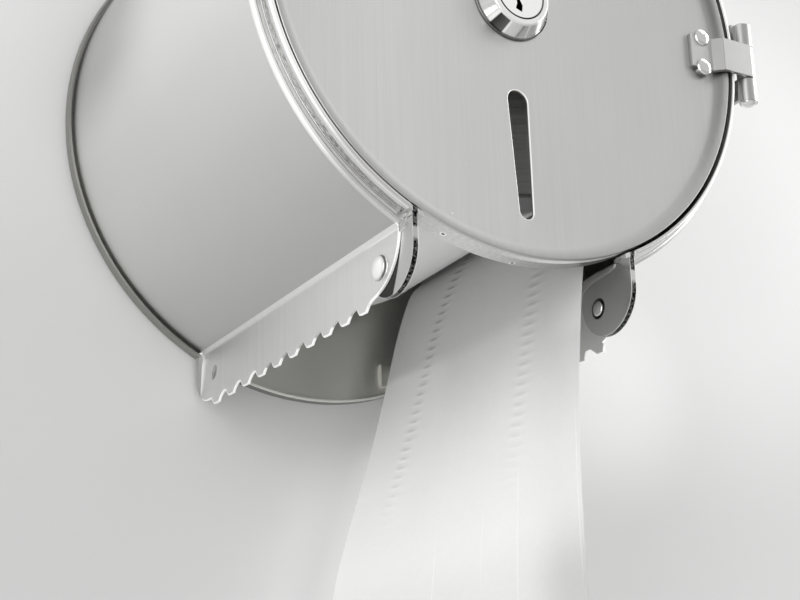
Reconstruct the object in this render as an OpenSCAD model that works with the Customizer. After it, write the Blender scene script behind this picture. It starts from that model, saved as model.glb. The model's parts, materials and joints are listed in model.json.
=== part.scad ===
// Wall-mounted round toilet roll dispenser: a sheet-steel drum with a hinged, locked front door,
// a serrated blade on each side of the paper mouth, and a toilet roll on a spindle inside.
// All lengths are millimetres. Y runs into the room wall and the back face lies at Y = 0.

/* [Drum] */
// Outer radius of the drum wall
drum_r = 77; // [74:0.5:90]
// Thickness of the drum wall's sheet
sheet_t = 0.8; // [0.6:0.1:1.2]
// From the room wall to the front edge of the collar
body_depth = 120.5; // [119:0.5:135]
// Half of the width of the paper mouth
mouth_half = 34.5; // [32:0.5:38]
// Width of the inward flange that joins the drum wall to the back plate
drum_flange = 8; // [5:0.5:10]

/* [Back plate] */
// How far the back plate reaches past the drum wall
plate_margin = 1.5; // [1.2:0.1:4]
// Thickness of the back plate
plate_t = 1; // [0.8:0.1:2]
// Depth of the plate's turned rim
plate_lip = 3; // [2:0.5:6]
// Thickness of the turned rim
lip_t = 0.8; // [0.6:0.1:1]
// Spacing of the four wall screw holes, across and up
wall_hole_pitch = 70; // [60:1:80]
// Radius of a wall screw hole
wall_hole_r = 2.75; // [2:0.05:3.5]

/* [Front ring] */
// Outer radius of the rounded corner between drum wall and step
corner_r = 1.3; // [0.9:0.1:1.5]
// Width of the flat step in front of the drum, from the collar to the corner
step_w = 1.2; // [0.8:0.1:2]
// How far the collar stands in front of the step
collar_depth = 4.6; // [4:0.1:7]
// Thickness of the collar
collar_t = 0.9; // [0.8:0.1:1.2]
// Width of the hem folded back over the collar's front edge
hem_w = 2.2; // [1.5:0.1:3]
// Thickness that the hem adds to the collar
hem_t = 0.3; // [0.2:0.05:0.5]
// Length of the sleeve that the ring pushes into the drum wall
ring_sleeve = 8; // [5:0.5:10]

/* [Door] */
// Running gap between the door and the collar
door_gap = 0.8; // [0.6:0.1:1.2]
// Thickness of the door panel
door_t = 0.9; // [0.7:0.1:1.2]
// Depth of the door's skirt
skirt_depth = 7.3; // [6:0.1:8]
// How far the flat face lies behind the door's rim
face_drop = 2; // [1.5:0.1:3]
// Radius of the rounded rim
rim_r = 1.1; // [1:0.1:1.5]
// Width of the soft shoulder from the rim down to the face
shoulder_w = 3; // [2:0.25:4]
// Height above the mouth end of the slot, from the door's centre to the slot's top
slot_top = 27; // [22:0.5:32]
// From the door's centre to the slot's lower end
slot_bottom = 63.2; // [55:0.1:64]
// Width of the slot's upper end
slot_w_top = 5.9; // [4.5:0.1:8]
// Width of the slot's lower end
slot_w_bottom = 3.7; // [3:0.1:6]

/* [Blades] */
// Thickness of a blade
blade_t = 1; // [0.8:0.1:1.2]
// How far the left blade's tooth tips reach below the mouth's edge
left_reach = 17.2; // [16:0.1:21]
// How far the right blade's tooth tips reach below the mouth's edge
right_reach = 19.5; // [16:0.1:21]
// Depth of a tooth
tooth_depth = 2.2; // [1.5:0.1:3]
// Radius of a blade's curved front end
blade_nose_r = 14.6; // [14:0.1:16]
// From the collar's front edge back to the blade's front end
blade_set_back = 5.6; // [5:0.1:7]
// Radius of the round lower corner at a blade's rear end
blade_heel_r = 5; // [3:0.5:8]
// Radius of the hole near a blade's rear end
blade_hole_r = 2; // [1.5:0.1:2.5]
// From the back plate to that hole's centre
blade_hole_from_plate = 9.5; // [8:0.1:12]
// Width of the blade's weld flange inside the drum wall
weld_w = 8; // [5:0.5:9]

/* [Ears] */
// Thickness of an ear
ear_t = 1.2; // [1:0.1:1.5]
// Gap between an ear and its blade
ear_gap = 0.2; // [0.2:0.05:0.4]
// Radius of an ear's round end
ear_r = 10.7; // [9:0.1:11.5]
// How far that round end's centre lies below the mouth's edge
ear_below = 5.8; // [3:0.1:7]
// How far the ear's front edge lies behind the collar's front edge
ear_set_back = 0.4; // [0.2:0.1:1]
// Radius of a blade rivet's shank
rivet_r = 2.05; // [1.5:0.05:2.3]
// Radius of a blade rivet's head
rivet_head_r = 3.4; // [2.8:0.1:4]
// How far the rivet's centre lies below the mouth's edge
rivet_below = 8.2; // [7.2:0.1:9]
// From the collar's front edge back to the rivet's centre
rivet_set_back = 14.9; // [14:0.1:15.5]
// Clearance round the rivet in the ear
rivet_play = 0.35; // [0.2:0.05:0.5]

/* [Spindle] */
// Radius of the spindle
spindle_r = 8; // [7:0.1:9]
// From the spindle's front end to the collar's front edge
spindle_room = 22.5; // [21:0.5:26]
// Radius of the spindle's wall flange
flange_r = 25; // [20:0.5:28]
// Thickness of the spindle's wall flange
flange_t = 2.5; // [2:0.1:4]
// Running clearance between spindle and hub
hub_play = 0.08; // [0.05:0.01:0.1]
// Outer radius of the hub that carries the roll
hub_r = 20.7; // [20:0.1:20.8]
// Wall of the hub
hub_wall = 1.5; // [1.2:0.1:2.5]
// Wall of the hub's inner tube, round the spindle
hub_tube_wall = 3; // [2:0.1:4]
// How far the hub's rear flange stands out behind the roll
hub_rim = 8; // [5:0.5:15]
// Length of the boss that holds the spindle's rear end
boss_len = 8; // [6:0.5:10]
// Wall of that boss
boss_wall = 4; // [2.5:0.5:6]

/* [Keeper] */
// Radius of the keeper cup on the spindle's end
keeper_r = 17; // [15.5:0.1:19]
// Length of the keeper cup
keeper_len = 13; // [12:0.1:13.5]
// Width of the cup's slot that the cam passes through
keeper_slot_w = 9; // [8.5:0.1:10]

/* [Lock] */
// Radius of the lock's front flange
lock_r = 11.6; // [11:0.1:13]
// Height of the lock in front of the door's face
lock_h = 4.6; // [3.5:0.1:6]
// Radius of the lock's barrel
barrel_r = 9.4; // [9.3:0.1:10]
// Radius of the turning plug
plug_r = 7.15; // [6.5:0.05:7.5]
// Running clearance round the plug
plug_play = 0.06; // [0.03:0.01:0.1]
// Half of the length of the cam
cam_reach = 11; // [10:0.5:12]
// Width of the cam and diameter of the plug's neck
cam_w = 6.4; // [6:0.1:7]
// Thickness of the cam
cam_t = 2; // [1.5:0.1:2.5]

/* [Door hinge] */
// Radius of the hinge knuckles
knuckle_r = 2.6; // [2.4:0.1:3]
// Radius of the hinge pin
pin_r = 1.5; // [1.2:0.05:1.6]
// Running clearance between the pin and the door's knuckle
pin_play = 0.06; // [0.03:0.01:0.1]
// Half of the height of the hinge
hinge_half = 12; // [10:0.5:16]
// Half of the height of the door's knuckle
door_knuckle_half = 5; // [4:0.25:6]
// From the hinge axis to the far end of the door's strap
strap_reach = 20; // [18:0.5:21]
// Thickness of both hinge leaves
leaf_t = 1.2; // [1:0.1:1.4]
// How far the hinge axis lies behind the collar's front edge
hinge_set_back = 1.5; // [1:0.1:2]
// Depth of the leaf on the drum wall
body_leaf_depth = 26; // [18:1:40]

/* [Roll] */
// Clearance between the roll's front end and the collar's front edge
roll_room = 11.5; // [11:0.5:20]
// Outer radius of the roll
roll_r = 51.3; // [35:0.1:56]
// Thickness of the cardboard core
core_t = 1.2; // [0.8:0.1:2]
// Clearance between the hub and the core
core_play = 0.3; // [0.2:0.05:0.5]
// Thickness of the hanging paper
tail_t = 0.4; // [0.3:0.05:0.8]

/* [Hidden] */
$fn = 96;

steel = [0.74, 0.74, 0.73];
dark_steel = [0.40, 0.40, 0.39];
chrome_c = [0.90, 0.90, 0.91];
nylon = [0.80, 0.80, 0.78];
paper_c = [0.94, 0.94, 0.94];
card_c = [0.72, 0.62, 0.50];

plate_r = drum_r + plate_margin;
wall_in = drum_r - sheet_t;
step_z = body_depth - collar_depth;
shoulder_z = step_z - corner_r;
collar_r = drum_r - corner_r - step_w;
collar_in = collar_r - collar_t;
door_r = collar_in - door_gap;
face_z = body_depth - face_drop;
panel_in_z = face_z - door_t;
knuckle_stand = 0.4;
hinge_x = drum_r + knuckle_r + knuckle_stand;
hinge_z = body_depth - hinge_set_back;
knuckle_gap = 0.2;
// Depth below the axis at which the mouth's side meets the drum's outer surface.
mouth_top = sqrt(drum_r * drum_r - mouth_half * mouth_half);

ear_x = mouth_half - blade_t - ear_gap - ear_t;
ear_front_z = body_depth - ear_set_back;
ear_z = ear_front_z - ear_r;
ear_drop = mouth_top + ear_below;
ear_weld_back = 8.5;
rivet_z = body_depth - rivet_set_back;
rivet_drop = mouth_top + rivet_below;
blade_x = mouth_half - blade_t;
blade_nose_z = body_depth - blade_set_back - blade_nose_r;
blade_hole_z = plate_t + blade_hole_from_plate;
fit_gap = 0.1;
lug_t = 1.2;
lug_x = blade_x - lug_t;

spindle_end = body_depth - spindle_room;
flange_back = plate_t;
boss_end = plate_t + boss_len;
end_play = 0.2;
hub_back = boss_end + end_play;
hub_flange_t = 1.8;
roll_back = hub_back + hub_flange_t;
roll_front = body_depth - roll_room;
paper_w = roll_front - roll_back;
clip_inset = 1.5;
clip_t = 1.2;
clip_z = spindle_end - clip_inset - clip_t;
hub_front = clip_z - 0.3;
keeper_base_t = 2;
keeper_front_t = 1.5;
keeper_z = spindle_end;
keeper_front = keeper_z + keeper_len;
cam_gap = 0.8;
cam_side_gap = 1.6;
cam_square = 3.2;
cam_z = keeper_front - keeper_front_t - cam_gap - cam_t;
barrel_gap = 1;
barrel_back = keeper_front + barrel_gap;
core_in = hub_r + core_play;
core_out = core_in + core_t;
tail_lead = 0.5;
tail_front_z = roll_front + tail_lead;
tail_rear_z = roll_back + tail_lead;

// Draws its children with X to the right, Y up and Z out from the room wall.
module from_wall() { rotate([90, 0, 0]) children(); }

// A flat piece square to X: its outline is drawn as distance from the room wall and height.
module side_sheet(x, t) {
    translate([x, 0, 0]) rotate([0, 90, 0]) linear_extrude(t) mirror([1, 0, 0]) children();
}

module tube(outer, inner, z0, z1) {
    translate([0, 0, z0]) difference() {
        cylinder(r = outer, h = z1 - z0);
        translate([0, 0, -1]) cylinder(r = inner, h = z1 - z0 + 2);
    }
}

module rod(r, z0, z1) { translate([0, 0, z0]) cylinder(r = r, h = z1 - z0); }

// The block that the paper mouth takes out of the drum, widened by extra.
module mouth(z0, z1, extra = 0) {
    half = mouth_half + extra;
    translate([-half, -plate_r - 5, z0]) cube([2 * half, plate_r + 5, z1 - z0]);
}

// A domed rivet or screw head, standing on z = 0.
module dome(r, h) {
    ball = (r * r + h * h) / (2 * h);
    intersection() {
        translate([0, 0, h - ball]) sphere(r = ball);
        cylinder(r = r + 1, h = h + 1);
    }
}

function arc(cx, cy, r, a0, a1, n) = [for (i = [0:n]) let (a = a0 + (a1 - a0) * i / n)
    [cx + r * cos(a), cy + r * sin(a)]];

// ---- Back plate and drum ----

module back_plate() {
    color(dark_steel) from_wall() difference() {
        union() {
            rod(plate_r, 0, plate_t);
            tube(plate_r, plate_r - lip_t, plate_t / 2, plate_lip);
        }
        for (side = [0, 1]) mirror([side, 0, 0]) translate([lug_x - fit_gap, -plate_r - 1, plate_t])
            cube([mouth_half - lug_x + 2 * fit_gap, plate_r - rear_foot_top, plate_lip]);
        for (x = [-1, 1], y = [-1, 1])
            translate([x, y, 0] * wall_hole_pitch / 2) rod(wall_hole_r, -1, plate_t + 1);
        flange_screw_spots() rod(flange_screw_r, -1, plate_t + 1);
    }
}

module drum_wall() {
    color(steel) from_wall() difference() {
        union() {
            tube(drum_r, wall_in, plate_t, shoulder_z);
            tube(wall_in + sheet_t / 2, wall_in - drum_flange, plate_t, plate_t + sheet_t);
        }
        mouth(0, body_depth);
    }
}

module front_ring() {
    hem_r = collar_r + hem_t;
    hem_z = body_depth - hem_w;
    sleeve_in = wall_in - sheet_t;
    nose = hem_t + 0.2;
    profile = concat(
        [[sleeve_in, shoulder_z - ring_sleeve], [wall_in, shoulder_z - ring_sleeve], [wall_in, shoulder_z]],
        arc(drum_r - corner_r, shoulder_z, corner_r, 0, 90, 8),
        [[collar_r, step_z], [collar_r, hem_z], [hem_r, hem_z + 0.1]],
        arc(hem_r - nose, body_depth - nose, nose, 0, 90, 5),
        arc(collar_in + 0.2, body_depth - 0.2, 0.2, 90, 180, 3),
        [[collar_in, step_z - sheet_t], [sleeve_in, step_z - sheet_t]]);
    color(steel) from_wall() difference() {
        rotate_extrude() polygon(profile);
        mouth(0, body_depth + 1);
        mouth(0, shoulder_z, weld_w + 2);
    }
}

// ---- Ears, blades and their fastenings ----

// An arc strip that lies against the inside of the drum wall, outward from x0.
module weld_strip(x0, z0, z1) {
    translate([0, 0, z0]) linear_extrude(z1 - z0) intersection() {
        difference() {
            circle(r = wall_in);
            circle(r = wall_in - sheet_t);
        }
        translate([x0, -plate_r]) square([mouth_half + weld_w - x0, plate_r]);
    }
}

tab_inset = 0.4;
tab_out = 2.8;
// The tab's end is cut on a slant: its outer and inner corners, above the mouth's edge.
tab_heel = 1;
tab_toe = 3;
cap_in = 1.4;
module ear() {
    root_z = shoulder_z;
    clear_r = door_r + door_gap - fit_gap;
    top = -sqrt(pow(wall_in - sheet_t / 2, 2) - pow(ear_x + ear_t, 2));
    difference() {
        union() {
            side_sheet(ear_x, ear_t) {
                difference() {
                    translate([ear_z, -ear_drop]) circle(r = ear_r);
                    translate([ear_z - ear_r - 1, top]) square([ear_r + 1, ear_r]);
                }
                translate([ear_z, -ear_drop]) square([ear_front_z - ear_z, ear_drop + top]);
                translate([root_z, -ear_drop]) square([ear_front_z - root_z, ear_r + 4]);
            }
            weld_strip(ear_x, ear_z - ear_weld_back, root_z - 2);
            // Tab on the flat step.
            translate([0, 0, step_z]) linear_extrude(sheet_t) intersection() {
                difference() {
                    circle(r = drum_r - tab_inset);
                    circle(r = collar_r + fit_gap);
                }
                polygon([[ear_x, -plate_r], [mouth_half + tab_out, -plate_r], [mouth_half + tab_out, -mouth_top + tab_heel],
                         [mouth_half + tab_inset, -mouth_top + tab_toe], [ear_x, -mouth_top + tab_toe]]);
            }
            // Cap over the cut end of the collar.
            translate([0, 0, step_z]) linear_extrude(collar_depth - fit_gap) intersection() {
                difference() {
                    circle(r = collar_r + 2 * fit_gap);
                    circle(r = clear_r);
                }
                translate([ear_x - cap_in, -plate_r]) square([mouth_half - ear_x + cap_in, plate_r]);
            }
        }
        rod(clear_r, body_depth - skirt_depth - 2 * fit_gap, body_depth + 1);
        side_sheet(ear_x - 1, ear_t + 2)
            translate([rivet_z, -rivet_drop]) circle(r = rivet_r + rivet_play);
    }
}

module ear_right() { color(steel) from_wall() ear(); }
module ear_left() { color(steel) from_wall() mirror([1, 0, 0]) ear(); }

// One tooth runs down its rear flank, along its land, up its front flank and along the valley.
left_tooth = [1.7, 3.2, 3.5, 1.0];
right_tooth = [2.9, 2.6, 0.9, 1.8];
left_first_tip = 10.3;
right_first_tip = 11.4;
left_teeth = 10;
right_teeth = 12;

function sum(v) = [for (x = v) 1] * v;
function saw(first, n, shape, valley) = [for (i = [0:n - 1]) let (z = first + i * sum(shape))
    each [[z - shape[0], valley], [z, valley - tooth_depth], [z + shape[1], valley - tooth_depth - 0.15],
          [z + shape[1] + shape[2], valley]]];

module blade(reach, first, n, shape) {
    valley = tooth_depth - mouth_top - reach;
    back = plate_t;
    top = -sqrt(pow(wall_in - sheet_t / 2, 2) - blade_x * blade_x);
    front_top = -sqrt(wall_in * wall_in - blade_x * blade_x) - fit_gap;
    weld_end = ear_z - ear_weld_back - 2;
    nose_y = valley + blade_nose_r;
    nose_top = asin((-mouth_top - 0.4 - nose_y) / blade_nose_r);
    outline = concat(
        [[back, top]],
        arc(back + blade_heel_r, valley + blade_heel_r, blade_heel_r, 180, 270, 6),
        saw(first, n, shape, valley),
        arc(blade_nose_z, nose_y, blade_nose_r, -75, nose_top, 12),
        [[blade_nose_z + blade_nose_r * cos(nose_top), front_top], [weld_end, front_top], [weld_end, top]]);
    difference() {
        union() {
            side_sheet(blade_x, blade_t) polygon(outline);
            weld_strip(blade_x, back + sheet_t + 1, weld_end);
        }
        side_sheet(blade_x - 1, blade_t + 2) {
            translate([rivet_z, -rivet_drop]) circle(r = rivet_r);
            translate([blade_hole_z, -blade_hole_drop]) circle(r = blade_hole_r);
        }
    }
}

// The hole near the rear end lies a little higher than the rivet.
blade_hole_drop = rivet_drop - 0.4;

module blade_right() {
    color(steel) from_wall() blade(right_reach, right_first_tip, right_teeth, right_tooth);
}

module blade_left() {
    color(steel) from_wall() mirror([1, 0, 0]) blade(left_reach, left_first_tip, left_teeth, left_tooth);
}

module ear_rivets() {
    color(chrome_c) from_wall() for (side = [0, 1]) mirror([side, 0, 0])
        translate([mouth_half, -rivet_drop, rivet_z]) rotate([0, 90, 0]) {
            dome(rivet_head_r, 1.6);
            tail_len = mouth_half - ear_x + 0.2;
            rotate([180, 0, 0]) {
                rod(rivet_r, 0, tail_len);
                translate([0, 0, tail_len]) dome(rivet_r, 0.6);
            }
        }
}

// A small bracket: its foot is welded to the back plate inside the turned rim, and its upright
// passes a notch in that rim to the blade's inner face.
lug_reach = 4;
rear_foot_w = 6;
rear_foot_low = sqrt(pow(plate_r - lip_t, 2) - lug_x * lug_x) - 0.5;
rear_foot_top = rear_foot_low - 7;
module rear_lug() {
    difference() {
        union() {
            translate([lug_x, -blade_hole_drop - lug_reach, plate_t])
                cube([lug_t, blade_hole_drop + lug_reach - rear_foot_top, blade_hole_z + lug_reach - plate_t]);
            translate([lug_x - rear_foot_w, -rear_foot_low, plate_t])
                cube([rear_foot_w + lug_t, rear_foot_low - rear_foot_top, lug_t]);
        }
        side_sheet(lug_x - 1, lug_t + 2)
            translate([blade_hole_z, -blade_hole_drop]) circle(r = blade_hole_r);
    }
}

module rear_lug_right() { color(steel) from_wall() rear_lug(); }
module rear_lug_left() { color(steel) from_wall() mirror([1, 0, 0]) rear_lug(); }

// ---- Spindle and keeper ----

flange_screw_r = 2;
flange_screw_head = 3.6;
flange_screw_spot = (flange_r + spindle_r + boss_wall) / 2;

module flange_screw_spots() {
    for (a = [90, 210, 330]) rotate([0, 0, a]) translate([flange_screw_spot, 0, 0]) children();
}

module spindle_flange() {
    color(steel) from_wall() difference() {
        union() {
            rod(flange_r, flange_back, flange_back + flange_t);
            rod(spindle_r + boss_wall, flange_back, boss_end);
        }
        rod(spindle_r, 0, boss_end + 1);
        flange_screw_spots() rod(flange_screw_r, 0, flange_back + flange_t + 1);
    }
}

module flange_screws() {
    head_z = flange_back + flange_t;
    color(chrome_c) from_wall() flange_screw_spots() difference() {
        union() {
            rod(flange_screw_r, 0.2, head_z);
            translate([0, 0, head_z]) dome(flange_screw_head, 2);
        }
        for (a = [0, 90]) rotate([0, 0, a]) translate([-2, -0.4, head_z + 0.9]) cube([4, 0.8, 2]);
    }
}

keeper_screw_r = 2.5;
groove_depth = 0.6;
keeper_screw_len = 12;

module spindle() {
    color(steel) from_wall() difference() {
        rod(spindle_r, flange_back, spindle_end);
        tube(spindle_r + 1, spindle_r - groove_depth, clip_z, clip_z + clip_t + 0.1);
        rod(keeper_screw_r, spindle_end - keeper_screw_len, spindle_end + 1);
    }
}

module hub_clip() {
    color(dark_steel) from_wall() difference() {
        tube(spindle_r + hub_tube_wall, spindle_r - groove_depth, clip_z, clip_z + clip_t);
        translate([-2.5, 0, clip_z - 1]) cube([5, spindle_r + 5, clip_t + 2]);
    }
}

module keeper_cup() {
    slot_half = cam_reach + cam_side_gap;
    color(steel) from_wall() difference() {
        union() {
            rod(keeper_r, keeper_z, keeper_z + keeper_base_t);
            tube(keeper_r, keeper_r - keeper_front_t, keeper_z, keeper_front);
            rod(keeper_r, keeper_front - keeper_front_t, keeper_front);
        }
        rod(keeper_screw_r, keeper_z - 1, keeper_z + keeper_base_t + 1);
        translate([-keeper_slot_w / 2, -slot_half, keeper_front - keeper_front_t - 1])
            cube([keeper_slot_w, 2 * slot_half, keeper_front_t + 2]);
    }
}

module keeper_screw() {
    head_z = keeper_z + keeper_base_t;
    color(chrome_c) from_wall() difference() {
        union() {
            rod(keeper_screw_r, spindle_end - keeper_screw_len + 1, head_z);
            rod(4, head_z, head_z + 2);
        }
        translate([0, 0, head_z + 0.8]) cylinder(r = 1.7, h = 2, $fn = 6);
    }
}

// ---- Hinge ----

module upright(x, z, r, y0, y1) { translate([x, y0, z]) rotate([-90, 0, 0]) cylinder(r = r, h = y1 - y0); }

leaf_rivet_r = 1.5;
leaf_rivet_half = 6.5;
leaf_head_r = 2.6;
leaf_head_h = 1.1;
pin_head_r = 2.3;
pin_head_h = 1.2;
body_rivet_z = shoulder_z - body_leaf_depth + 6;

// Puts a rivet, pointing along +Z, square to the drum wall at each rivet of the body leaf.
module body_rivet_spots() {
    for (y = [-1, 1]) rotate([0, 0, y * asin(leaf_rivet_half / drum_r)])
        translate([drum_r, 0, body_rivet_z]) rotate([0, 90, 0]) children();
}

module hinge_body_leaf() {
    leaf_back = shoulder_z - body_leaf_depth;
    color(steel) from_wall() difference() {
        union() {
            translate([0, 0, leaf_back]) linear_extrude(hinge_z - leaf_back) intersection() {
                difference() {
                    circle(r = drum_r + leaf_t);
                    circle(r = drum_r);
                }
                translate([drum_r - 5, -hinge_half]) square([10, 2 * hinge_half]);
            }
            difference() {
                upright(hinge_x, hinge_z, knuckle_r, -hinge_half, hinge_half);
                rod(drum_r, 0, body_depth + 5);
            }
        }
        upright(hinge_x, hinge_z, pin_r, -hinge_half - 1, hinge_half + 1);
        knuckle_half = door_knuckle_half + knuckle_gap;
        translate([drum_r - 5, -knuckle_half, hinge_z - knuckle_r - 0.6])
            cube([20, 2 * knuckle_half, 4 * knuckle_r]);
        body_rivet_spots() rod(leaf_rivet_r, -2 * leaf_t, 2 * leaf_t);
    }
}

module hinge_leaf_rivets() {
    color(chrome_c) from_wall() body_rivet_spots() {
        rod(leaf_rivet_r, 0.02, leaf_t);
        translate([0, 0, leaf_t]) dome(leaf_head_r, leaf_head_h);
    }
}

module hinge_pin() {
    color(chrome_c) from_wall() {
        upright(hinge_x, hinge_z, pin_r, -hinge_half - 0.4, hinge_half + 0.4);
        for (s = [-1, 1]) translate([hinge_x, s * hinge_half, hinge_z]) rotate([-90 * s, 0, 0]) dome(pin_head_r, pin_head_h);
    }
}

door_rivet_half = 4.6;
door_rivet_inset = 4.2;
door_rivet_x = hinge_x - strap_reach + door_rivet_inset;
module door_rivet_spots() {
    for (y = [-1, 1]) translate([door_rivet_x, y * door_rivet_half, face_z]) children();
}

module hinge_door_leaf() {
    strap_half = 8;
    over_z = body_depth + 0.3;
    jog_x = door_r - rim_r - shoulder_w - 0.6;
    end_x = hinge_x - strap_reach;
    strap = [[end_x, face_z], [jog_x, face_z], [jog_x + 2.6, over_z], [hinge_x, over_z],
             [hinge_x, over_z + leaf_t], [jog_x + 1.8, over_z + leaf_t], [jog_x - 0.8, face_z + leaf_t],
             [end_x, face_z + leaf_t]];
    color(steel) from_wall() difference() {
        union() {
            translate([0, strap_half, 0]) rotate([90, 0, 0]) linear_extrude(2 * strap_half) polygon(strap);
            upright(hinge_x, hinge_z, knuckle_r, -door_knuckle_half, door_knuckle_half);
        }
        for (s = [-1, 1]) translate([collar_r, s * (door_knuckle_half + 10), face_z])
            cube([30, 20, 30], center = true);
        upright(hinge_x, hinge_z, pin_r + pin_play, -20, 20);
        door_rivet_spots() rod(leaf_rivet_r, -1, leaf_t + 1);
    }
}

module door_leaf_rivets() {
    color(chrome_c) from_wall() door_rivet_spots() {
        rod(leaf_rivet_r, -door_t, leaf_t);
        translate([0, 0, leaf_t]) dome(leaf_head_r, leaf_head_h);
        translate([0, 0, -door_t]) rotate([180, 0, 0]) dome(leaf_head_r - 0.2, leaf_head_h - 0.2);
    }
}

// ---- Door and lock ----

module door_panel() {
    rim_x = door_r - rim_r;
    rim_z = body_depth - rim_r;
    steps = 10;
    soft = [for (i = [1:steps]) [rim_x - shoulder_w * i / steps,
        face_z + face_drop * (1 + cos(180 * i / steps)) / 2]];
    back_soft = [for (i = [steps:-1:1]) [soft[i - 1][0], soft[i - 1][1] - door_t]];
    profile = concat(
        [[door_r, body_depth - skirt_depth]], arc(rim_x, rim_z, rim_r, 0, 90, 8), soft,
        [[0, face_z], [0, panel_in_z]], back_soft, arc(rim_x, rim_z, rim_r - door_t, 90, 0, 3),
        [[door_r - door_t, body_depth - skirt_depth]]);
    color(steel) from_wall() difference() {
        rotate_extrude() polygon(profile);
        translate([0, 0, panel_in_z - 1]) linear_extrude(door_t + 2) viewing_slot();
        translate([0, 0, panel_in_z - 1]) linear_extrude(door_t + 2) barrel_outline(0.2);
        door_rivet_spots() rod(leaf_rivet_r, -3, 2);
    }
}

// A slot that narrows downwards, with a round at each end.
module viewing_slot() {
    top_r = slot_w_top / 2;
    low_r = slot_w_bottom / 2;
    top_y = -slot_top - top_r;
    low_y = -slot_bottom + low_r;
    lean = asin((top_r - low_r) / (top_y - low_y));
    translate([0, top_y]) circle(r = top_r);
    translate([0, low_y]) circle(r = low_r);
    polygon([for (s = [1, -1], k = [0, 1]) let (r = (k == (s > 0 ? 0 : 1)) ? top_r : low_r,
        y = (r == top_r) ? top_y : low_y) [s * r * cos(lean), y - r * sin(lean)]]);
}

// The lock's barrel has two flats that stop it turning in the door.
module barrel_outline(play) {
    flat_half = barrel_r - 1.2 + play;
    intersection() {
        circle(r = barrel_r + play);
        square([2 * flat_half, 3 * barrel_r], center = true);
    }
}

lock_lip_w = 1.8;
module lock_body() {
    flange_h = 0.6;
    lip_r = plug_r + lock_lip_w;
    profile = concat(
        [[plug_r + plug_play, face_z], [lock_r, face_z]], arc(lock_r - 0.2, face_z + flange_h - 0.2, 0.2, 0, 90, 3),
        [[lock_r - 0.7, face_z + flange_h], [lip_r, face_z + lock_h - 0.5]],
        arc(lip_r - 0.5, face_z + lock_h - 0.5, 0.5, 15, 90, 5),
        [[plug_r + plug_play + 0.2, face_z + lock_h], [plug_r + plug_play, face_z + lock_h - 0.2]]);
    color(chrome_c) from_wall() {
        rotate_extrude() polygon(profile);
        difference() {
            translate([0, 0, barrel_back]) linear_extrude(face_z - barrel_back) barrel_outline(0);
            rod(plug_r + plug_play, barrel_back - 1, face_z + 1);
        }
    }
}

washer_t = 0.5;
washer_w = 3.4;
nut_t = 2.6;
nut_w = 4;

module lock_washer() {
    color(dark_steel) from_wall() tube(barrel_r + washer_w, barrel_r + 0.05, panel_in_z - washer_t, panel_in_z);
}

module lock_nut() {
    top = panel_in_z - washer_t;
    color(chrome_c) from_wall() difference() {
        translate([0, 0, top - nut_t]) cylinder(r = barrel_r + nut_w, h = nut_t, $fn = 6);
        rod(barrel_r, top - nut_t - 1, top + 1);
    }
}

// The keyhole is a slot that bends left and right as it goes down.
keyhole = [[-0.5, 4.2], [0.7, 4.4], [0.9, 2.2], [0.3, 0.6], [1.1, -1.4], [1.1, -4.4], [-0.6, -3.6],
           [-0.3, -1.2], [-1.0, 0.8], [-0.5, 2.4]];
keyhole_depth = 4;

module lock_plug() {
    head_z = face_z + lock_h - 0.1;
    color(chrome_c) from_wall() difference() {
        union() {
            rod(plug_r, barrel_back, head_z);
            rod(cam_w / 2, cam_z + cam_t, barrel_back);
            translate([-cam_square / 2, -cam_square / 2, cam_z]) cube([cam_square, cam_square, cam_t + 0.5]);
        }
        translate([0, 0, head_z - keyhole_depth]) linear_extrude(keyhole_depth + 1) polygon(keyhole);
        rod(cam_screw_r, cam_z - 1, cam_z + cam_screw_len + 0.5);
    }
}

cam_screw_r = 1.2;
cam_screw_len = 4.5;

module lock_cam() {
    end_r = cam_w / 2;
    color(dark_steel) from_wall() difference() {
        union() {
            for (s = [-1, 1]) translate([0, s * (cam_reach - end_r), 0]) rod(end_r, cam_z, cam_z + cam_t);
            translate([-end_r, end_r - cam_reach, cam_z]) cube([cam_w, 2 * (cam_reach - end_r), cam_t]);
        }
        translate([-cam_square / 2, -cam_square / 2, cam_z - 1]) cube([cam_square, cam_square, cam_t + 2]);
    }
}

module cam_screw() {
    color(chrome_c) from_wall() {
        rod(cam_screw_r, cam_z, cam_z + cam_screw_len);
        translate([0, 0, cam_z]) rotate([180, 0, 0]) dome(cam_w / 2 - 0.6, 1.6);
    }
}

// ---- Roll ----

module core_hub() {
    inner = spindle_r + hub_play;
    tube_r = spindle_r + hub_tube_wall;
    color(nylon) from_wall() difference() {
        union() {
            rod(hub_r + hub_rim, hub_back, roll_back);
            rod(hub_r, roll_back - 0.5, hub_front);
        }
        rod(inner, hub_back - 1, hub_front + 1);
        difference() {
            tube(hub_r - hub_wall, tube_r, roll_back, hub_front + 1);
            for (a = [0:60:300]) rotate([0, 0, a]) translate([tube_r - 1, -0.8, roll_back - 1])
                cube([hub_r - hub_wall - tube_r + 2, 1.6, hub_front - cap_t - roll_back + 1]);
        }
    }
}

cap_t = 2;

module hub_cap() {
    color(nylon) from_wall() tube(hub_r - hub_wall, spindle_r + hub_tube_wall, hub_front - cap_t, hub_front);
}

module roll_core() { color(card_c) from_wall() tube(core_out, core_in, roll_back, roll_front); }

module toilet_roll() { color(paper_c) from_wall() tube(roll_r, core_out, roll_back, roll_front); }

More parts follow.
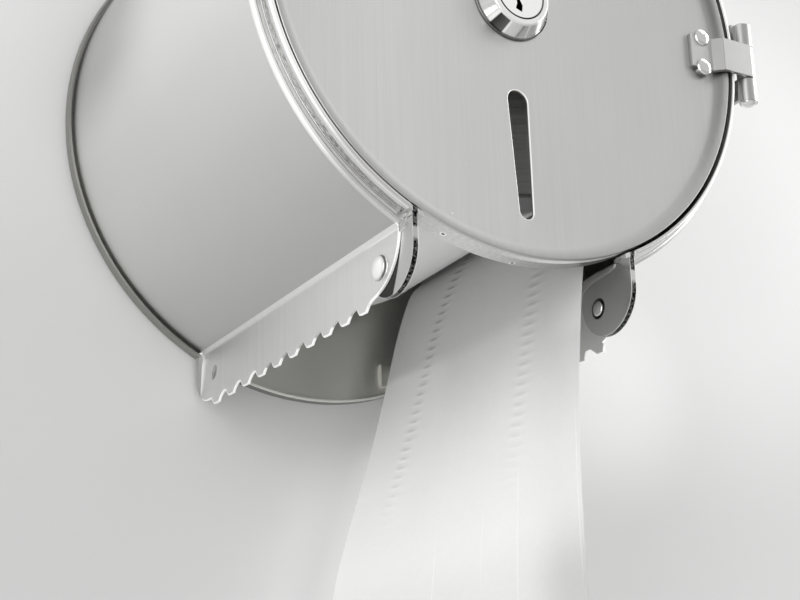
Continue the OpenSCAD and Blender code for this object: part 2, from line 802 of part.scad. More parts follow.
// The hanging sheet is ruled between its front edge and its rear edge, both given as
// distance right of the axis and height, from the roll down to the free end.
tail_front = [[49.3, -16], [47.3, -21.6], [44.1, -28.7], [40.3, -35.6], [36, -42.9], [31.3, -51.1], [27.5, -59],
              [24.8, -68], [22.6, -85], [20.8, -105], [20, -127], [20, -155], [20.6, -185]];
tail_rear = [[49.3, -16], [47.1, -21.9], [44, -27.6], [40.4, -32.8], [36.4, -37.8], [31.7, -43.6],
             [26.6, -58], [21.6, -77], [15.6, -98], [9.6, -116], [4.2, -134], [0, -155], [-3, -183]];

function tail_normal(line, i) =
    let (a = line[max(i - 1, 0)], b = line[min(i + 1, len(line) - 1)], d = (b - a) / norm(b - a))
    [-d[1], d[0]];
function tail_side(line, z, off) = [for (i = [0:len(line) - 1])
    let (p = line[i] + off * tail_normal(line, i)) [p[0], p[1], z]];

module paper_tail() {
    n = len(tail_front);
    pts = concat(tail_side(tail_front, tail_front_z, 0), tail_side(tail_front, tail_front_z, tail_t),
                 tail_side(tail_rear, tail_rear_z, 0), tail_side(tail_rear, tail_rear_z, tail_t));
    a = 0; b = n; c = 2 * n; d = 3 * n;
    skin = [for (i = [0:n - 2]) each [
        [a + i, a + i + 1, c + i + 1], [a + i, c + i + 1, c + i],
        [b + i, d + i + 1, b + i + 1], [b + i, d + i, d + i + 1],
        [a + i, b + i + 1, a + i + 1], [a + i, b + i, b + i + 1],
        [c + i, c + i + 1, d + i + 1], [c + i, d + i + 1, d + i]]];
    last = n - 1;
    ends = [[a, c, d], [a, d, b], [a + last, d + last, c + last], [a + last, b + last, d + last]];
    color(paper_c) from_wall() polyhedron(points = pts, faces = concat(skin, ends));
}

back_plate();
drum_wall();
front_ring();
ear_left();
ear_right();
blade_left();
blade_right();
ear_rivets();
rear_lug_left();
rear_lug_right();
spindle_flange();
flange_screws();
spindle();
hub_clip();
keeper_cup();
keeper_screw();
hinge_body_leaf();
hinge_leaf_rivets();
hinge_pin();
paper_tail();
door_panel();
hinge_door_leaf();
door_leaf_rivets();
lock_body();
lock_washer();
lock_nut();
lock_plug();
lock_cam();
cam_screw();
core_hub();
hub_cap();
roll_core();
toilet_roll();
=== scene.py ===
import json
import math
import random

import bmesh
import bpy
from mathutils import Matrix, Vector, geometry


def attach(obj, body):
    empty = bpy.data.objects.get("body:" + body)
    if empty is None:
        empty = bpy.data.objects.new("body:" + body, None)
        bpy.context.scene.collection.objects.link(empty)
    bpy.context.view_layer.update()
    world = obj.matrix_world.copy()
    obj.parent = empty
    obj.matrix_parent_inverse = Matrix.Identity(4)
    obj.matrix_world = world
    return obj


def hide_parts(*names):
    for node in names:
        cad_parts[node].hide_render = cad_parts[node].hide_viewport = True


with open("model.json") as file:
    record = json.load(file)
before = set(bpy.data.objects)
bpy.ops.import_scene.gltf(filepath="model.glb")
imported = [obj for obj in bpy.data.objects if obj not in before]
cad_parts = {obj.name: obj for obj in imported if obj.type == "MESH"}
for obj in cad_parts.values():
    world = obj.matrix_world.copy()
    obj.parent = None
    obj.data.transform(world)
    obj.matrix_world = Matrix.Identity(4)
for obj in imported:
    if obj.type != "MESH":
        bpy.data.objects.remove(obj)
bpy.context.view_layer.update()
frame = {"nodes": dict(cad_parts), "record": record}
scene = bpy.context.scene
bodyOf = {node: body for body, nodes in frame["record"]["behaviour"]["bodies"].items() for node in nodes}
print("frame loaded:", len(frame["nodes"]), "nodes")

# Millimetres. "out" is the distance from the room wall and "up" the height above the drum's axis.
layout = {
    "drumRadius": 77.0,
    "sheet": 0.8,
    "mouthHalf": 34.5,
    "mouthTop": 68.838,
    "depth": 120.5,
    "plate": 1.0,
    "shoulderOut": 114.6,
    "stepOut": 115.9,
    "collarRadius": 74.5,
    "collarInner": 73.6,
    "doorRadius": 72.8,
    "faceOut": 118.5,
    "panel": 0.9,
}

camera = {
    "place": (-0.249864, -0.469032, -0.238168),
    "right": (0.85926248, -0.51083855, -0.0266827),
    "up": (-0.1521832, -0.30508538, 0.9400868),
    "back": (-0.48837308, -0.80372065, -0.33988946),
    "lens": 82.633,
}


def makeCamera():
    data = bpy.data.cameras.new("camera")
    data.lens = camera["lens"]
    data.sensor_width = 36
    data.clip_start, data.clip_end = 0.01, 50
    holder = bpy.data.objects.new("camera", data)
    scene.collection.objects.link(holder)
    turn = Matrix((camera["right"], camera["up"], camera["back"])).transposed()
    holder.matrix_world = Matrix.Translation(camera["place"]) @ turn.to_4x4()
    scene.camera = holder


makeCamera()


# Meshes.
def spot(x, out, up):
    return Vector((x, -out, up)) / 1000


def meshPiece(name, points, faces):
    mesh = bpy.data.meshes.new(name)
    mesh.from_pydata(points, [], faces)
    piece = bpy.data.objects.new(name, mesh)
    scene.collection.objects.link(piece)
    return piece


def shadeByAngle(mesh, angle):
    mesh.shade_smooth()
    mesh.set_sharp_from_angle(angle=math.radians(angle))


def tidyMesh(piece, angle=32, merge=0.002, planar=False):
    work = bmesh.new()
    work.from_mesh(piece.data)
    bmesh.ops.remove_doubles(work, verts=work.verts, dist=merge / 1000)
    bmesh.ops.dissolve_degenerate(work, edges=work.edges, dist=merge / 2000)
    if planar:
        bmesh.ops.dissolve_limit(work, angle_limit=math.radians(0.5), verts=work.verts, edges=work.edges)
    bmesh.ops.recalc_face_normals(work, faces=work.faces)
    work.to_mesh(piece.data)
    work.free()
    shadeByAngle(piece.data, angle)
    return piece


def bakeModifiers(piece, angle=32):
    graph = bpy.context.evaluated_depsgraph_get()
    graph.update()
    done = bpy.data.meshes.new_from_object(piece.evaluated_get(graph))
    piece.modifiers.clear()
    piece.data = done
    if angle:
        shadeByAngle(done, angle)
    return piece


# Flat faces keep their own direction, so long thin triangles shade evenly.
def evenNormals(piece):
    weigh = piece.modifiers.new("weigh", "WEIGHTED_NORMAL")
    weigh.weight = 100
    weigh.keep_sharp = True
    return bakeModifiers(piece, None)


def bevelEdges(piece, width, segments=2, limit=40, smooth=32):
    bevel = piece.modifiers.new("edges", "BEVEL")
    bevel.width = width / 1000
    bevel.segments = segments
    bevel.limit_method = "ANGLE"
    bevel.angle_limit = math.radians(limit)
    bevel.use_clamp_overlap = True
    return bakeModifiers(piece, smooth)


def joinPieces(name, parts):
    work = bmesh.new()
    for part in parts:
        work.from_mesh(part.data)
        bpy.data.objects.remove(part)
    mesh = bpy.data.meshes.new(name)
    work.to_mesh(mesh)
    work.free()
    piece = bpy.data.objects.new(name, mesh)
    scene.collection.objects.link(piece)
    return piece


def mirrorPiece(piece):
    piece.data.transform(Matrix.Scale(-1, 4, (1, 0, 0)))
    piece.data.flip_normals()


def arcPoints(centreX, centreY, radius, first, last, steps):
    turns = [math.radians(first + (last - first) * i / steps) for i in range(steps + 1)]
    return [(centreX + radius * math.cos(t), centreY + radius * math.sin(t)) for t in turns]


# Faces between neighbouring rows of points, where each row is a closed loop of the same size.
def rowFaces(start, rows, size):
    return [(a + i, a + (i + 1) % size, a + size + (i + 1) % size, a + size + i)
            for a in range(start, start + (rows - 1) * size, size) for i in range(size)]


# Turns a profile of (radius, out) pairs round the drum's axis, open at the bottom by twice "mouth".
def lathe(name, profile, segments=256, mouth=0.0):
    points, faces = [], []
    count = len(profile)
    rings = segments + 1 if mouth else segments
    for step in range(rings):
        for radius, out in profile:
            half = math.asin(mouth / radius) if mouth else 0.0
            turn = half + 2 * (math.pi - half) * step / segments
            points.append(spot(radius * math.sin(turn), out, -radius * math.cos(turn)))
    for step in range(segments):
        here, there = step * count, ((step + 1) % rings) * count
        for index in range(count):
            after = (index + 1) % count
            faces.append((here + index, here + after, there + after, there + index))
    if mouth:
        faces.append(tuple(range(count)))
        faces.append(tuple(reversed(range(segments * count, rings * count))))
    return meshPiece(name, points, faces)


def insideLoop(point, loop):
    inside = False
    x, y = point
    for (x0, y0), (x1, y1) in zip(loop, loop[1:] + loop[:1]):
        if (y0 > y) != (y1 > y) and x < (x1 - x0) * (y - y0) / (y1 - y0) + x0:
            inside = not inside
    return inside


# Triangles between an outline and its holes, as triples of positions in the joined list of loops.
# A mark is a loop inside the outline that the triangles follow without being cut by it.
def fillTriangles(outline, holes, marks=()):
    flat, edges = [], []
    for loop in [outline] + list(holes) + list(marks):
        start = len(flat)
        flat += [Vector(p) for p in loop]
        edges += [(start + i, start + (i + 1) % len(loop)) for i in range(len(loop))]
    made = geometry.delaunay_2d_cdt(flat, edges, [], 0, 0.0000001)
    source = [group[0] for group in made[3]]
    kept = []
    for face in made[2]:
        middle = [sum(made[0][v][axis] for v in face) / len(face) for axis in (0, 1)]
        if insideLoop(middle, outline) and not any(insideLoop(middle, hole) for hole in holes):
            kept.append(tuple(source[v] for v in face))
    return kept


# The same loop moved inwards.
def insetLoop(loop, distance):
    area = sum(a[0] * b[1] - b[0] * a[1] for a, b in zip(loop, loop[1:] + loop[:1]))
    side = 1 if area > 0 else -1
    moved = []
    for i, point in enumerate(loop):
        before, here, after = Vector(loop[i - 1]), Vector(point), Vector(loop[(i + 1) % len(loop)])
        one, two = (here - before).normalized(), (after - here).normalized()
        across = Vector((-one.y - two.y, one.x + two.x)).normalized() * side
        share = max(0.45, across.dot(Vector((-one.y, one.x)) * side))
        moved.append(tuple(here + across * distance / share))
    return moved


# A flat cut sheet: outline and holes are (out, up) pairs, from x0 to x1.
def cutSheet(name, outline, holes, x0, x1, marks=()):
    loops = [outline] + holes
    flat = [p for loop in loops + list(marks) for p in loop]
    points = [spot(x, out, up) for x in (x0, x1) for out, up in flat]
    size = len(flat)
    triangles = fillTriangles(outline, holes, marks)
    faces = list(triangles) + [tuple(v + size for v in reversed(t)) for t in triangles]
    start = 0
    for loop in loops:
        for i in range(len(loop)):
            a, b = start + i, start + (i + 1) % len(loop)
            faces.append((a, b, b + size, a + size))
        start += len(loop)
    return tidyMesh(meshPiece(name, points, faces), planar=not marks)


# A bar with the same section, given as (x, up) pairs, from out0 to out1.
def straightBar(name, section, out0, out1):
    size = len(section)
    points = [spot(x, out, up) for out in (out0, out1) for x, up in section]
    faces = rowFaces(0, 2, size) + [tuple(range(size)), tuple(range(size, 2 * size))]
    return tidyMesh(meshPiece(name, points, faces), 50)


def writeLayer(piece, label, values):
    layer = piece.data.attributes.new(label, "FLOAT", "POINT")
    layer.data.foreach_set("value", values)


# Writes how near each point of a piece lies to a cut outline, 1 on it and 0 from "reach" inwards.
def markEdges(piece, loop, reach, x0, x1):
    ends = [(Vector(a), Vector(b)) for a, b in zip(loop, loop[1:] + loop[:1])]
    values = []
    for vertex in piece.data.vertices:
        place = Vector((-vertex.co.y, vertex.co.z)) * 1000
        away = 9.0
        if x0 - 0.01 < abs(vertex.co.x) * 1000 < x1 + 0.01:
            for a, b in ends:
                share = max(0.0, min(1.0, (place - a).dot(b - a) / (b - a).length_squared))
                away = min(away, (place - a.lerp(b, share)).length)
        values.append(max(0.0, 1.0 - away / reach))
    writeLayer(piece, "cutEdge", values)


# A strip that lies against the inside of the drum wall, from x0 to x1.
def wallStrip(name, x0, x1, out0, out1, outer, inner, steps=10):
    points, faces = [], []
    for i in range(steps + 1):
        x = x0 + (x1 - x0) * i / steps
        for radius in (outer, inner):
            for out in (out0, out1):
                points.append(spot(x, out, -math.sqrt(radius * radius - x * x)))
    for i in range(steps):
        a = 4 * i
        for p, q in ((0, 1), (1, 3), (3, 2), (2, 0)):
            faces.append((a + p, a + q, a + 4 + q, a + 4 + p))
    faces += [(0, 1, 3, 2), (4 * steps, 4 * steps + 2, 4 * steps + 3, 4 * steps + 1)]
    return tidyMesh(meshPiece(name, points, faces))


# A copy of a plain node with its seams closed and its edges softened.
def softenedCopy(node, name, width, change=None):
    source = frame["nodes"][node]
    piece = bpy.data.objects.new(name, source.data.copy())
    scene.collection.objects.link(piece)
    tidyMesh(piece, planar=True)
    if change:
        for vertex in piece.data.vertices:
            vertex.co = change(vertex.co.copy())
    return bevelEdges(piece, width)


def dress(piece, material, slotName, *nodes):
    if material is not None:
        piece.data.materials.clear()
        piece.data.materials.append(material)
    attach(piece, bodyOf[nodes[0]])
    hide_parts(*nodes)
    return piece


# Node trees. A nodeValue is a node's output: signs between two of them, or with a number, add math nodes.
class nodeValue:
    def __init__(self, socket):
        self.socket = socket

    def __add__(self, other):
        return sums("ADD", self, other)

    def __radd__(self, other):
        return sums("ADD", other, self)

    def __sub__(self, other):
        return sums("SUBTRACT", self, other)

    def __rsub__(self, other):
        return sums("SUBTRACT", other, self)

    def __mul__(self, other):
        return sums("MULTIPLY", self, other)

    def __rmul__(self, other):
        return sums("MULTIPLY", other, self)

    def __truediv__(self, other):
        return sums("DIVIDE", self, other)

    def __abs__(self):
        return sums("ABSOLUTE", self)


def plug(node, key, value):
    value = getattr(value, "socket", value)
    if isinstance(value, bpy.types.NodeSocket):
        node.id_data.links.new(value, node.inputs[key])
    else:
        node.inputs[key].default_value = value


def addNode(tree, kind, inputs=None, **settings):
    node = tree.nodes.new(kind)
    for key, value in settings.items():
        setattr(node, key, value)
    for key, value in (inputs or {}).items():
        plug(node, key, value)
    return node


def read(tree, kind, inputs=None, output=0, **settings):
    return nodeValue(addNode(tree, kind, inputs, **settings).outputs[output])


# The output of a new node in the same tree as the values that it takes.
def follow(kind, inputs, output=0, **settings):
    tree = next(value.socket.id_data for value in inputs.values() if isinstance(value, nodeValue))
    return read(tree, kind, inputs, output, **settings)


def sums(operation, *values):
    return follow("ShaderNodeMath", dict(enumerate(values)), operation=operation)


def larger(one, two):
    return sums("MAXIMUM", one, two)


def noiseAt(vector, scale, detail=3.0, rough=0.5):
    wants = {"Vector": vector, "Scale": scale, "Detail": detail, "Roughness": rough}
    return follow("ShaderNodeTexNoise", wants, "Fac")


def vectorOf(*parts):
    return follow("ShaderNodeCombineXYZ", dict(enumerate(parts)))


def partsOf(vector):
    node = addNode(vector.socket.id_data, "ShaderNodeSeparateXYZ", {0: vector})
    return [nodeValue(socket) for socket in node.outputs]


def scaled(vector, factor):
    return follow("ShaderNodeVectorMath", {0: vector, "Scale": factor}, operation="SCALE")


def ramp(value, low, high, start=0.0, end=1.0, smooth=True):
    wants = {"Value": value, "From Min": low, "From Max": high, "To Min": start, "To Max": end}
    return follow("ShaderNodeMapRange", wants, interpolation_type="SMOOTHSTEP" if smooth else "LINEAR")


# 1 inside low..high and 0 outside, with a soft step of the given width at both ends.
def bandMask(value, low, high, soft):
    return ramp(value, low - soft, low + soft) * ramp(value, high - soft, high + soft, 1.0, 0.0)


def blendValues(mask, first, second):
    return first * (1.0 - mask) + second * mask


def clamped(value):
    return follow("ShaderNodeClamp", {"Value": value})


# The distance from a point given by two coordinates, in metres.
def distanceFrom(a, b, placeA, placeB):
    away = vectorOf(a - placeA, b - placeB, 0.0)
    return follow("ShaderNodeVectorMath", {0: away}, "Value", operation="LENGTH")


def readLayer(tree, label):
    return read(tree, "ShaderNodeAttribute", output="Fac", attribute_name=label)


# How far a face looks along X, without sign: 1 on a blade's flat side and 0 on its cut edge.
def sidewaysFacing(tree):
    return abs(partsOf(read(tree, "ShaderNodeNewGeometry", output="True Normal"))[0])


# Object coordinates in metres, then the distance from the drum's axis and the turn round it.
def objectSpot(tree):
    coords = read(tree, "ShaderNodeTexCoord", output="Object")
    x, y, z = partsOf(coords)
    return coords, x, y, z, sums("SQRT", x * x + z * z), sums("ARCTAN2", x, z)


# Materials.
def blankMaterial(name):
    material = bpy.data.materials.new(name)
    material.use_nodes = True
    tree = material.node_tree
    tree.nodes.clear()
    surface = addNode(tree, "ShaderNodeBsdfPrincipled")
    addNode(tree, "ShaderNodeOutputMaterial", {"Surface": surface.outputs["BSDF"]})
    return material, tree, surface


def coat(surface, tone, tint, rough, height=None, bump=0.0, depth=0.0001):
    plug(surface, "Base Color", scaled(tint, tone))
    plug(surface, "Roughness", rough)
    if height is not None:
        relief = follow("ShaderNodeBump", {"Strength": bump, "Distance": depth, "Height": height})
        plug(surface, "Normal", relief)


steelTint = (1.0, 1.0, 0.985)


# grain: "upright" runs along Z, "round" follows the drum, "cloudy" has no direction.
# A finish may also return how much less metallic each place is; this makes its painted highlights, and
# the plug's white face, pale like a diffuse surface.
def steel(name, look, extra=None):
    material, tree, surface = blankMaterial(name)
    coords, x, y, z, radius, turn = objectSpot(tree)
    fine = look["fine"]
    if look["grain"] == "upright":
        vector = vectorOf(x * fine, y * fine, z * look["long"])
    elif look["grain"] == "round":
        vector = vectorOf(turn * (layout["drumRadius"] / 1000 * look["long"]), y * fine, radius * fine)
    else:
        vector = scaled(coords, fine)
    grain = noiseAt(vector, 1.0, 4.0, 0.6)
    cloud = noiseAt(coords, 28.0, 2.0)
    tone = look["tone"] + (grain - 0.5) * look["grainTone"] + (cloud - 0.5) * look["cloudTone"]
    rough = look["roughness"] + (grain - 0.5) * look.get("grainRough", 0.12)
    height, paleShare = grain, None
    if extra:
        tone, height, paleShare = extra(tree, tone, height, coords, x, y, z, radius, turn)
    plug(surface, "Metallic", 1.0 if paleShare is None else 1.0 - clamped(paleShare))
    coat(surface, tone, look.get("tint", steelTint), rough, height, look["bump"])
    return material


looks = {
    "drum": {"tone": 0.76, "roughness": 0.36, "grain": "round", "fine": 2600.0, "long": 40.0,
             "grainTone": 0.02, "cloudTone": 0.04, "bump": 0.05},
    "door": {"tone": 0.70, "roughness": 0.34, "grain": "upright", "fine": 3400.0, "long": 26.0,
             "grainTone": 0.05, "cloudTone": 0.03, "bump": 0.08},
    "blade": {"tone": 0.74, "roughness": 0.33, "grain": "upright", "fine": 3000.0, "long": 60.0,
              "grainTone": 0.08, "cloudTone": 0.05, "bump": 0.10},
    "ear": {"tone": 0.66, "roughness": 0.34, "grain": "upright", "fine": 2600.0, "long": 80.0,
            "grainTone": 0.06, "cloudTone": 0.05, "bump": 0.10},
    "hinge": {"tone": 0.52, "roughness": 0.36, "grain": "upright", "fine": 3000.0, "long": 60.0,
              "grainTone": 0.08, "cloudTone": 0.05, "bump": 0.10},
    "ring": {"tone": 0.64, "roughness": 0.24, "grain": "round", "fine": 5200.0, "long": 120.0,
             "grainTone": 0.06, "cloudTone": 0.05, "bump": 0.10},
    "back": {"tone": 0.62, "roughness": 0.46, "grain": "cloudy", "fine": 900.0,
             "grainTone": 0.05, "cloudTone": 0.06, "bump": 0.10, "tint": (1.0, 1.0, 0.95)},
    "turned": {"tone": 0.62, "roughness": 0.28, "grain": "round", "fine": 4000.0, "long": 60.0,
               "grainTone": 0.07, "cloudTone": 0.04, "bump": 0.12},
    "polished": {"tone": 0.86, "roughness": 0.12, "grain": "cloudy", "fine": 1600.0,
                 "grainTone": 0.05, "cloudTone": 0.03, "bump": 0.05},
    "chrome": {"tone": 0.90, "roughness": 0.05, "grain": "cloudy", "fine": 1200.0,
               "grainTone": 0.02, "cloudTone": 0.02, "grainRough": 0.03, "bump": 0.02},
    "zinc": {"tone": 0.40, "roughness": 0.42, "grain": "cloudy", "fine": 1400.0,
             "grainTone": 0.12, "cloudTone": 0.06, "bump": 0.15},
}

# Marks of the finishes, in metres. Side, Out and Up are places along X, Y and Z, and Radius is the
# distance from the drum's axis. A tuple holds a soft step's two ends and its values there, or a band's
# ends and how soft they are. Single numbers are strengths and places.

# Painted light and shade: the drum is painted lighter towards the top and darker low down, with a painted
# lighter band low down and painted shade at the top of its rear.
drumMarks = {
    "shadedBottomTone": 0.78, "litTopTone": 1.14, "band": 0.11, "rear": 0.38,
    "bandUp": (-0.060, -0.030, 0.012), "rearOut": (-0.065, -0.020), "rearUp": (-0.020, 0.008),
}


def drumFinish(tree, tone, height, coords, x, y, z, radius, turn):
    given = drumMarks
    # Painted light and shade: lighter towards the top, a lighter band low down, shade at the top of the
    # rear.
    shade = ramp(z, -0.075, 0.0, given["shadedBottomTone"], given["litTopTone"])
    shade += bandMask(z, *given["bandUp"]) * given["band"]
    shade -= ramp(y, *given["rearOut"]) * ramp(z, *given["rearUp"]) * given["rear"]
    return tone * shade, height, None


doorMarks = {
    "rimStart": 0.0690, "rimEnd": 0.0727, "rimLeft": 0.92, "rimRight": 0.70, "faceLeft": 1.12,
    "faceRight": 0.70, "brow": 0.12, "streakLeft": 0.16, "streakRight": 0.05, "speckScale": 92.0,
    "speck": 0.25, "skirtRadius": 0.0724, "skirtFront": -0.1192, "mottle": 0.34, "skirtHighlight": 0.5,
    "lip": 0.4, "dents": [(-0.0222, -0.11566), (-0.0009, -0.1142)], "browOut": -0.1188,
    "browRadius": (0.0708, 0.0722), "browSide": (0.005, -0.020), "skirtHighlightOut": (-0.1193, -0.1172, 0.0004),
    "skirtHighlightSide": (-0.012, 0.012), "rolledSide": (0.030, 0.004, 0.25, 1.0, False),
    "dentPaintedLight": (0.0007, 0.0010, 0.35, 0.0), "dentPaintedShade": (0.0003, 0.0006, 0.9, 0.0),
    "lipOut": (-0.11846, -0.11805, 0.00004), "lipRadius": (0.0655, 0.066, 1.0, 0.0),
}


# Painted shade darkens the face where it runs up into the rim, more on the right, with a painted dark
# line inside the rim on the left, and the face is painted lighter on the left. A painted highlight runs
# along the skirt near its front on the right, and the skirt is left as rolled on the left. The slot's and
# barrel hole's edges carry a painted highlight, and the dents are painted as pale rings round dark
# middles.
def doorFinish(tree, tone, height, coords, x, y, z, radius, turn):
    given = doorMarks
    # Painted shade where the face runs up into the rim, deeper on the right; the face is painted lighter
    # on the left.
    rimTone = ramp(x, -0.020, 0.020, given["rimLeft"], given["rimRight"])
    shade = ramp(radius, given["rimStart"], given["rimEnd"], 1.0, rimTone, False)
    shade *= ramp(x, -0.040, 0.062, given["faceLeft"], given["faceRight"], False)
    # Painted shade: a dark line just inside the rim on the left.
    brow = ramp(radius, *given["browRadius"]) * ramp(y, given["browOut"], given["skirtFront"])
    brow *= ramp(x, *given["browSide"])
    shade *= 1.0 - brow * given["brow"]
    streak = noiseAt(vectorOf(x * 900.0, 0.0, z * 9.0), 1.0, 3.0, 0.6) - 0.5
    shade += streak * ramp(x, 0.03, -0.05, given["streakRight"], given["streakLeft"], False)
    cells = follow("ShaderNodeTexVoronoi", {"Vector": coords, "Scale": given["speckScale"]}, "Distance")
    tone = tone * shade + ramp(cells, 0.018, 0.032, given["speck"], 0.0)
    skirt = ramp(radius, given["skirtRadius"], given["skirtRadius"] + 0.0001)
    skirt *= ramp(y, -0.1196, given["skirtFront"])
    # Painted highlight along the skirt near its front, on the right, made pale by lowering the metallic.
    skirtHighlight = bandMask(y, *given["skirtHighlightOut"]) * ramp(x, *given["skirtHighlightSide"]) * skirt
    around = turn * (layout["doorRadius"] / 1000)
    mottle = noiseAt(vectorOf(around * 900.0, y * 3200.0, 0.0), 1.0, 5.0, 0.72) - 0.5
    fine = noiseAt(vectorOf(around * 14.0, y * 5200.0, 0.0), 1.0, 2.0, 0.5) - 0.42
    rolled = skirt * ramp(x, *given["rolledSide"])
    tone += (mottle * 2.6 + fine) * given["mottle"] * rolled
    tone += skirtHighlight * given["skirtHighlight"]
    # Each dent is painted as a pale ring round a dark middle: painted highlight and shade, with no hollow
    # in the mesh.
    for dentX, dentY in given["dents"]:
        away = distanceFrom(x, y, dentX, dentY)
        hollow = ramp(away, *given["dentPaintedLight"]) - ramp(away, *given["dentPaintedShade"])
        tone += hollow * skirt
    # Painted highlight on the edges of the slot and of the barrel's hole.
    lip = bandMask(y, *given["lipOut"]) * ramp(radius, *given["lipRadius"])
    tone += lip * given["lip"]
    return tone, height + mottle * rolled * 5.0, skirtHighlight * 0.75 + lip * 0.8


ringMarks = {
    "mottleLow": -0.1183, "mottleHigh": -0.1163, "mottle": 0.55, "hem": 0.34, "line": 0.42,
    "lineWidth": 0.00014, "bandLow": 0.06, "bandHigh": 0.17, "step": 0.3, "foot": 0.3,
    "patches": (0.35, 0.62), "mottleGrain": (0.34, 0.62), "hemOut": (-0.1199, -0.1195, 1.0, 0.0),
    "hemRadius": (0.0737, 0.0739), "hemUp": (-0.058, -0.036, 0.25, 1.0),
    "cornerRadius": (0.0757, 0.0760), "cornerUp": (-0.062, -0.045, 0.25, 1.0),
    "bandOut": (-0.1192, -0.1163, 0.0001), "bandRadius": (0.0736, 0.0738),
    "stepRadius": (0.07478, 0.07565, 0.0001), "stepOut": (-0.1155, -0.1158),
    "footRadius": (0.07458, 0.07472, 0.00005), "footOut": (-0.1166, -0.1164),
}


# The collar is left as rolled: a mottled band between two fine dark lines, under the hem. The hem and the
# outer corner carry a painted highlight that fades lower down, the step a painted highlight, and the
# crease at its foot painted shade.
# The band over the collar is darkened, more towards the top.
def ringFinish(tree, tone, height, coords, x, y, z, radius, turn):
    given = ringMarks
    around = turn * (layout["collarRadius"] / 1000)
    mottle = noiseAt(vectorOf(around * 620.0, y * 2600.0, radius), 1.0, 5.0, 0.7)
    patchy = ramp(noiseAt(vectorOf(around * 55.0, 0.0, 0.0), 1.0), *given["patches"])
    mask = bandMask(y, given["mottleLow"], given["mottleHigh"], 0.0001) * (0.35 + patchy * 0.65)
    tone += (ramp(mottle, *given["mottleGrain"]) - 0.75) * mask * given["mottle"]
    for edge in (given["mottleLow"], given["mottleHigh"]):
        half = given["lineWidth"] / 2
        tone -= bandMask(y, edge - half, edge + half, 0.00004) * given["line"]
    # Painted highlight on the hem and on the outer corner, fading lower down.
    hem = ramp(y, *given["hemOut"]) * ramp(radius, *given["hemRadius"])
    hem *= ramp(z, *given["hemUp"])
    corner = ramp(radius, *given["cornerRadius"]) * ramp(z, *given["cornerUp"])
    tone += (hem + corner) * given["hem"]
    band = bandMask(y, *given["bandOut"]) * ramp(radius, *given["bandRadius"])
    tone -= band * ramp(z, -0.060, -0.020, given["bandLow"], given["bandHigh"])
    # Painted highlight on the step, and painted shade in the crease at its foot where it meets the
    # collar.
    step = bandMask(radius, *given["stepRadius"]) * ramp(y, *given["stepOut"])
    foot = bandMask(radius, *given["footRadius"]) * ramp(y, *given["footOut"])
    tone += step * given["step"]
    tone -= foot * given["foot"]
    return tone, height + mottle * mask * 3.0, (hem + corner) * 0.8 + step * 0.5


bladeMarks = {
    "bend": 0.06, "streak": 0.12, "rearTone": 0.03, "noseTone": 0.22, "darkCut": 0.30,
    "brightCut": 0.4, "rear": 0.32, "bendUp": (-0.0706, -0.0690), "toneOut": (-0.020, -0.100),
    "edgeReach": (0.25, 0.6), "tipUp": (-0.0845, -0.0850), "noseOut": (-0.0990, -0.1000),
    "heelOut": (-0.040, -0.036), "heelUp": (-0.0800, -0.0830), "litOut": (-0.0022, -0.0030),
    "cutFacing": (0.3, 0.6, 1.0, 0.0), "cutReach": (0.0, 0.5), "filletSide": (0.03452, 0.0346),
    "filletUp": (-0.0700, -0.0696), "frontOut": (-0.1146, -0.1148), "rearOut": (-0.0040, -0.0030),
    "rearUp": (-0.0688, -0.0692), "rearSide": (0.03448, 0.03456),
}


# Painted highlights lie on the cut edges round the nose, the teeth's tips and the heel, with painted
# shade on the cut edges between them. The blade is painted lighter towards its nose, the bend at the top
# and the front end of the fillet carry a painted highlight, and the bend at the rear painted shade.
def bladeFinish(tree, tone, height, coords, x, y, z, radius, turn):
    given = bladeMarks
    # Painted highlight along the bend at the top.
    bend = ramp(z, *given["bendUp"])
    streak = noiseAt(vectorOf(y * 520.0, z * 14.0, 0.0), 1.0, 3.0, 0.6) - 0.5
    tone += bend * given["bend"] + streak * given["streak"]
    # Painted light: the blade is painted lighter towards its nose.
    tone += ramp(ramp(y, *given["toneOut"]), 0.0, 1.0, given["rearTone"], given["noseTone"], False)
    edge = ramp(readLayer(tree, "cutEdge"), *given["edgeReach"])
    # Painted highlight on the cut edges round the nose, the teeth's tips and the heel, and painted shade
    # on the cut edges between them.
    lit = larger(ramp(z, *given["tipUp"]), ramp(y, *given["noseOut"]))
    lit = larger(lit, ramp(y, *given["heelOut"]) * ramp(z, *given["heelUp"]))
    lit *= ramp(y, *given["litOut"])
    bright = edge * lit
    cut = ramp(sidewaysFacing(tree), *given["cutFacing"]) * ramp(edge, *given["cutReach"])
    tone -= cut * (1.0 - lit) * given["darkCut"]
    tone += bright * given["brightCut"]
    # Painted highlight on the fillet's front end, and painted shade on the bend at the rear.
    fillet = ramp(abs(x), *given["filletSide"]) * ramp(z, *given["filletUp"])
    front = fillet * ramp(y, *given["frontOut"])
    rear = ramp(y, *given["rearOut"]) * ramp(z, *given["rearUp"]) * ramp(abs(x), *given["rearSide"])
    tone *= 1.0 - rear * given["rear"]
    tone += front * given["brightCut"]
    return tone, height, larger(bright, front) * 0.85 + larger(fillet, bend) * 0.10


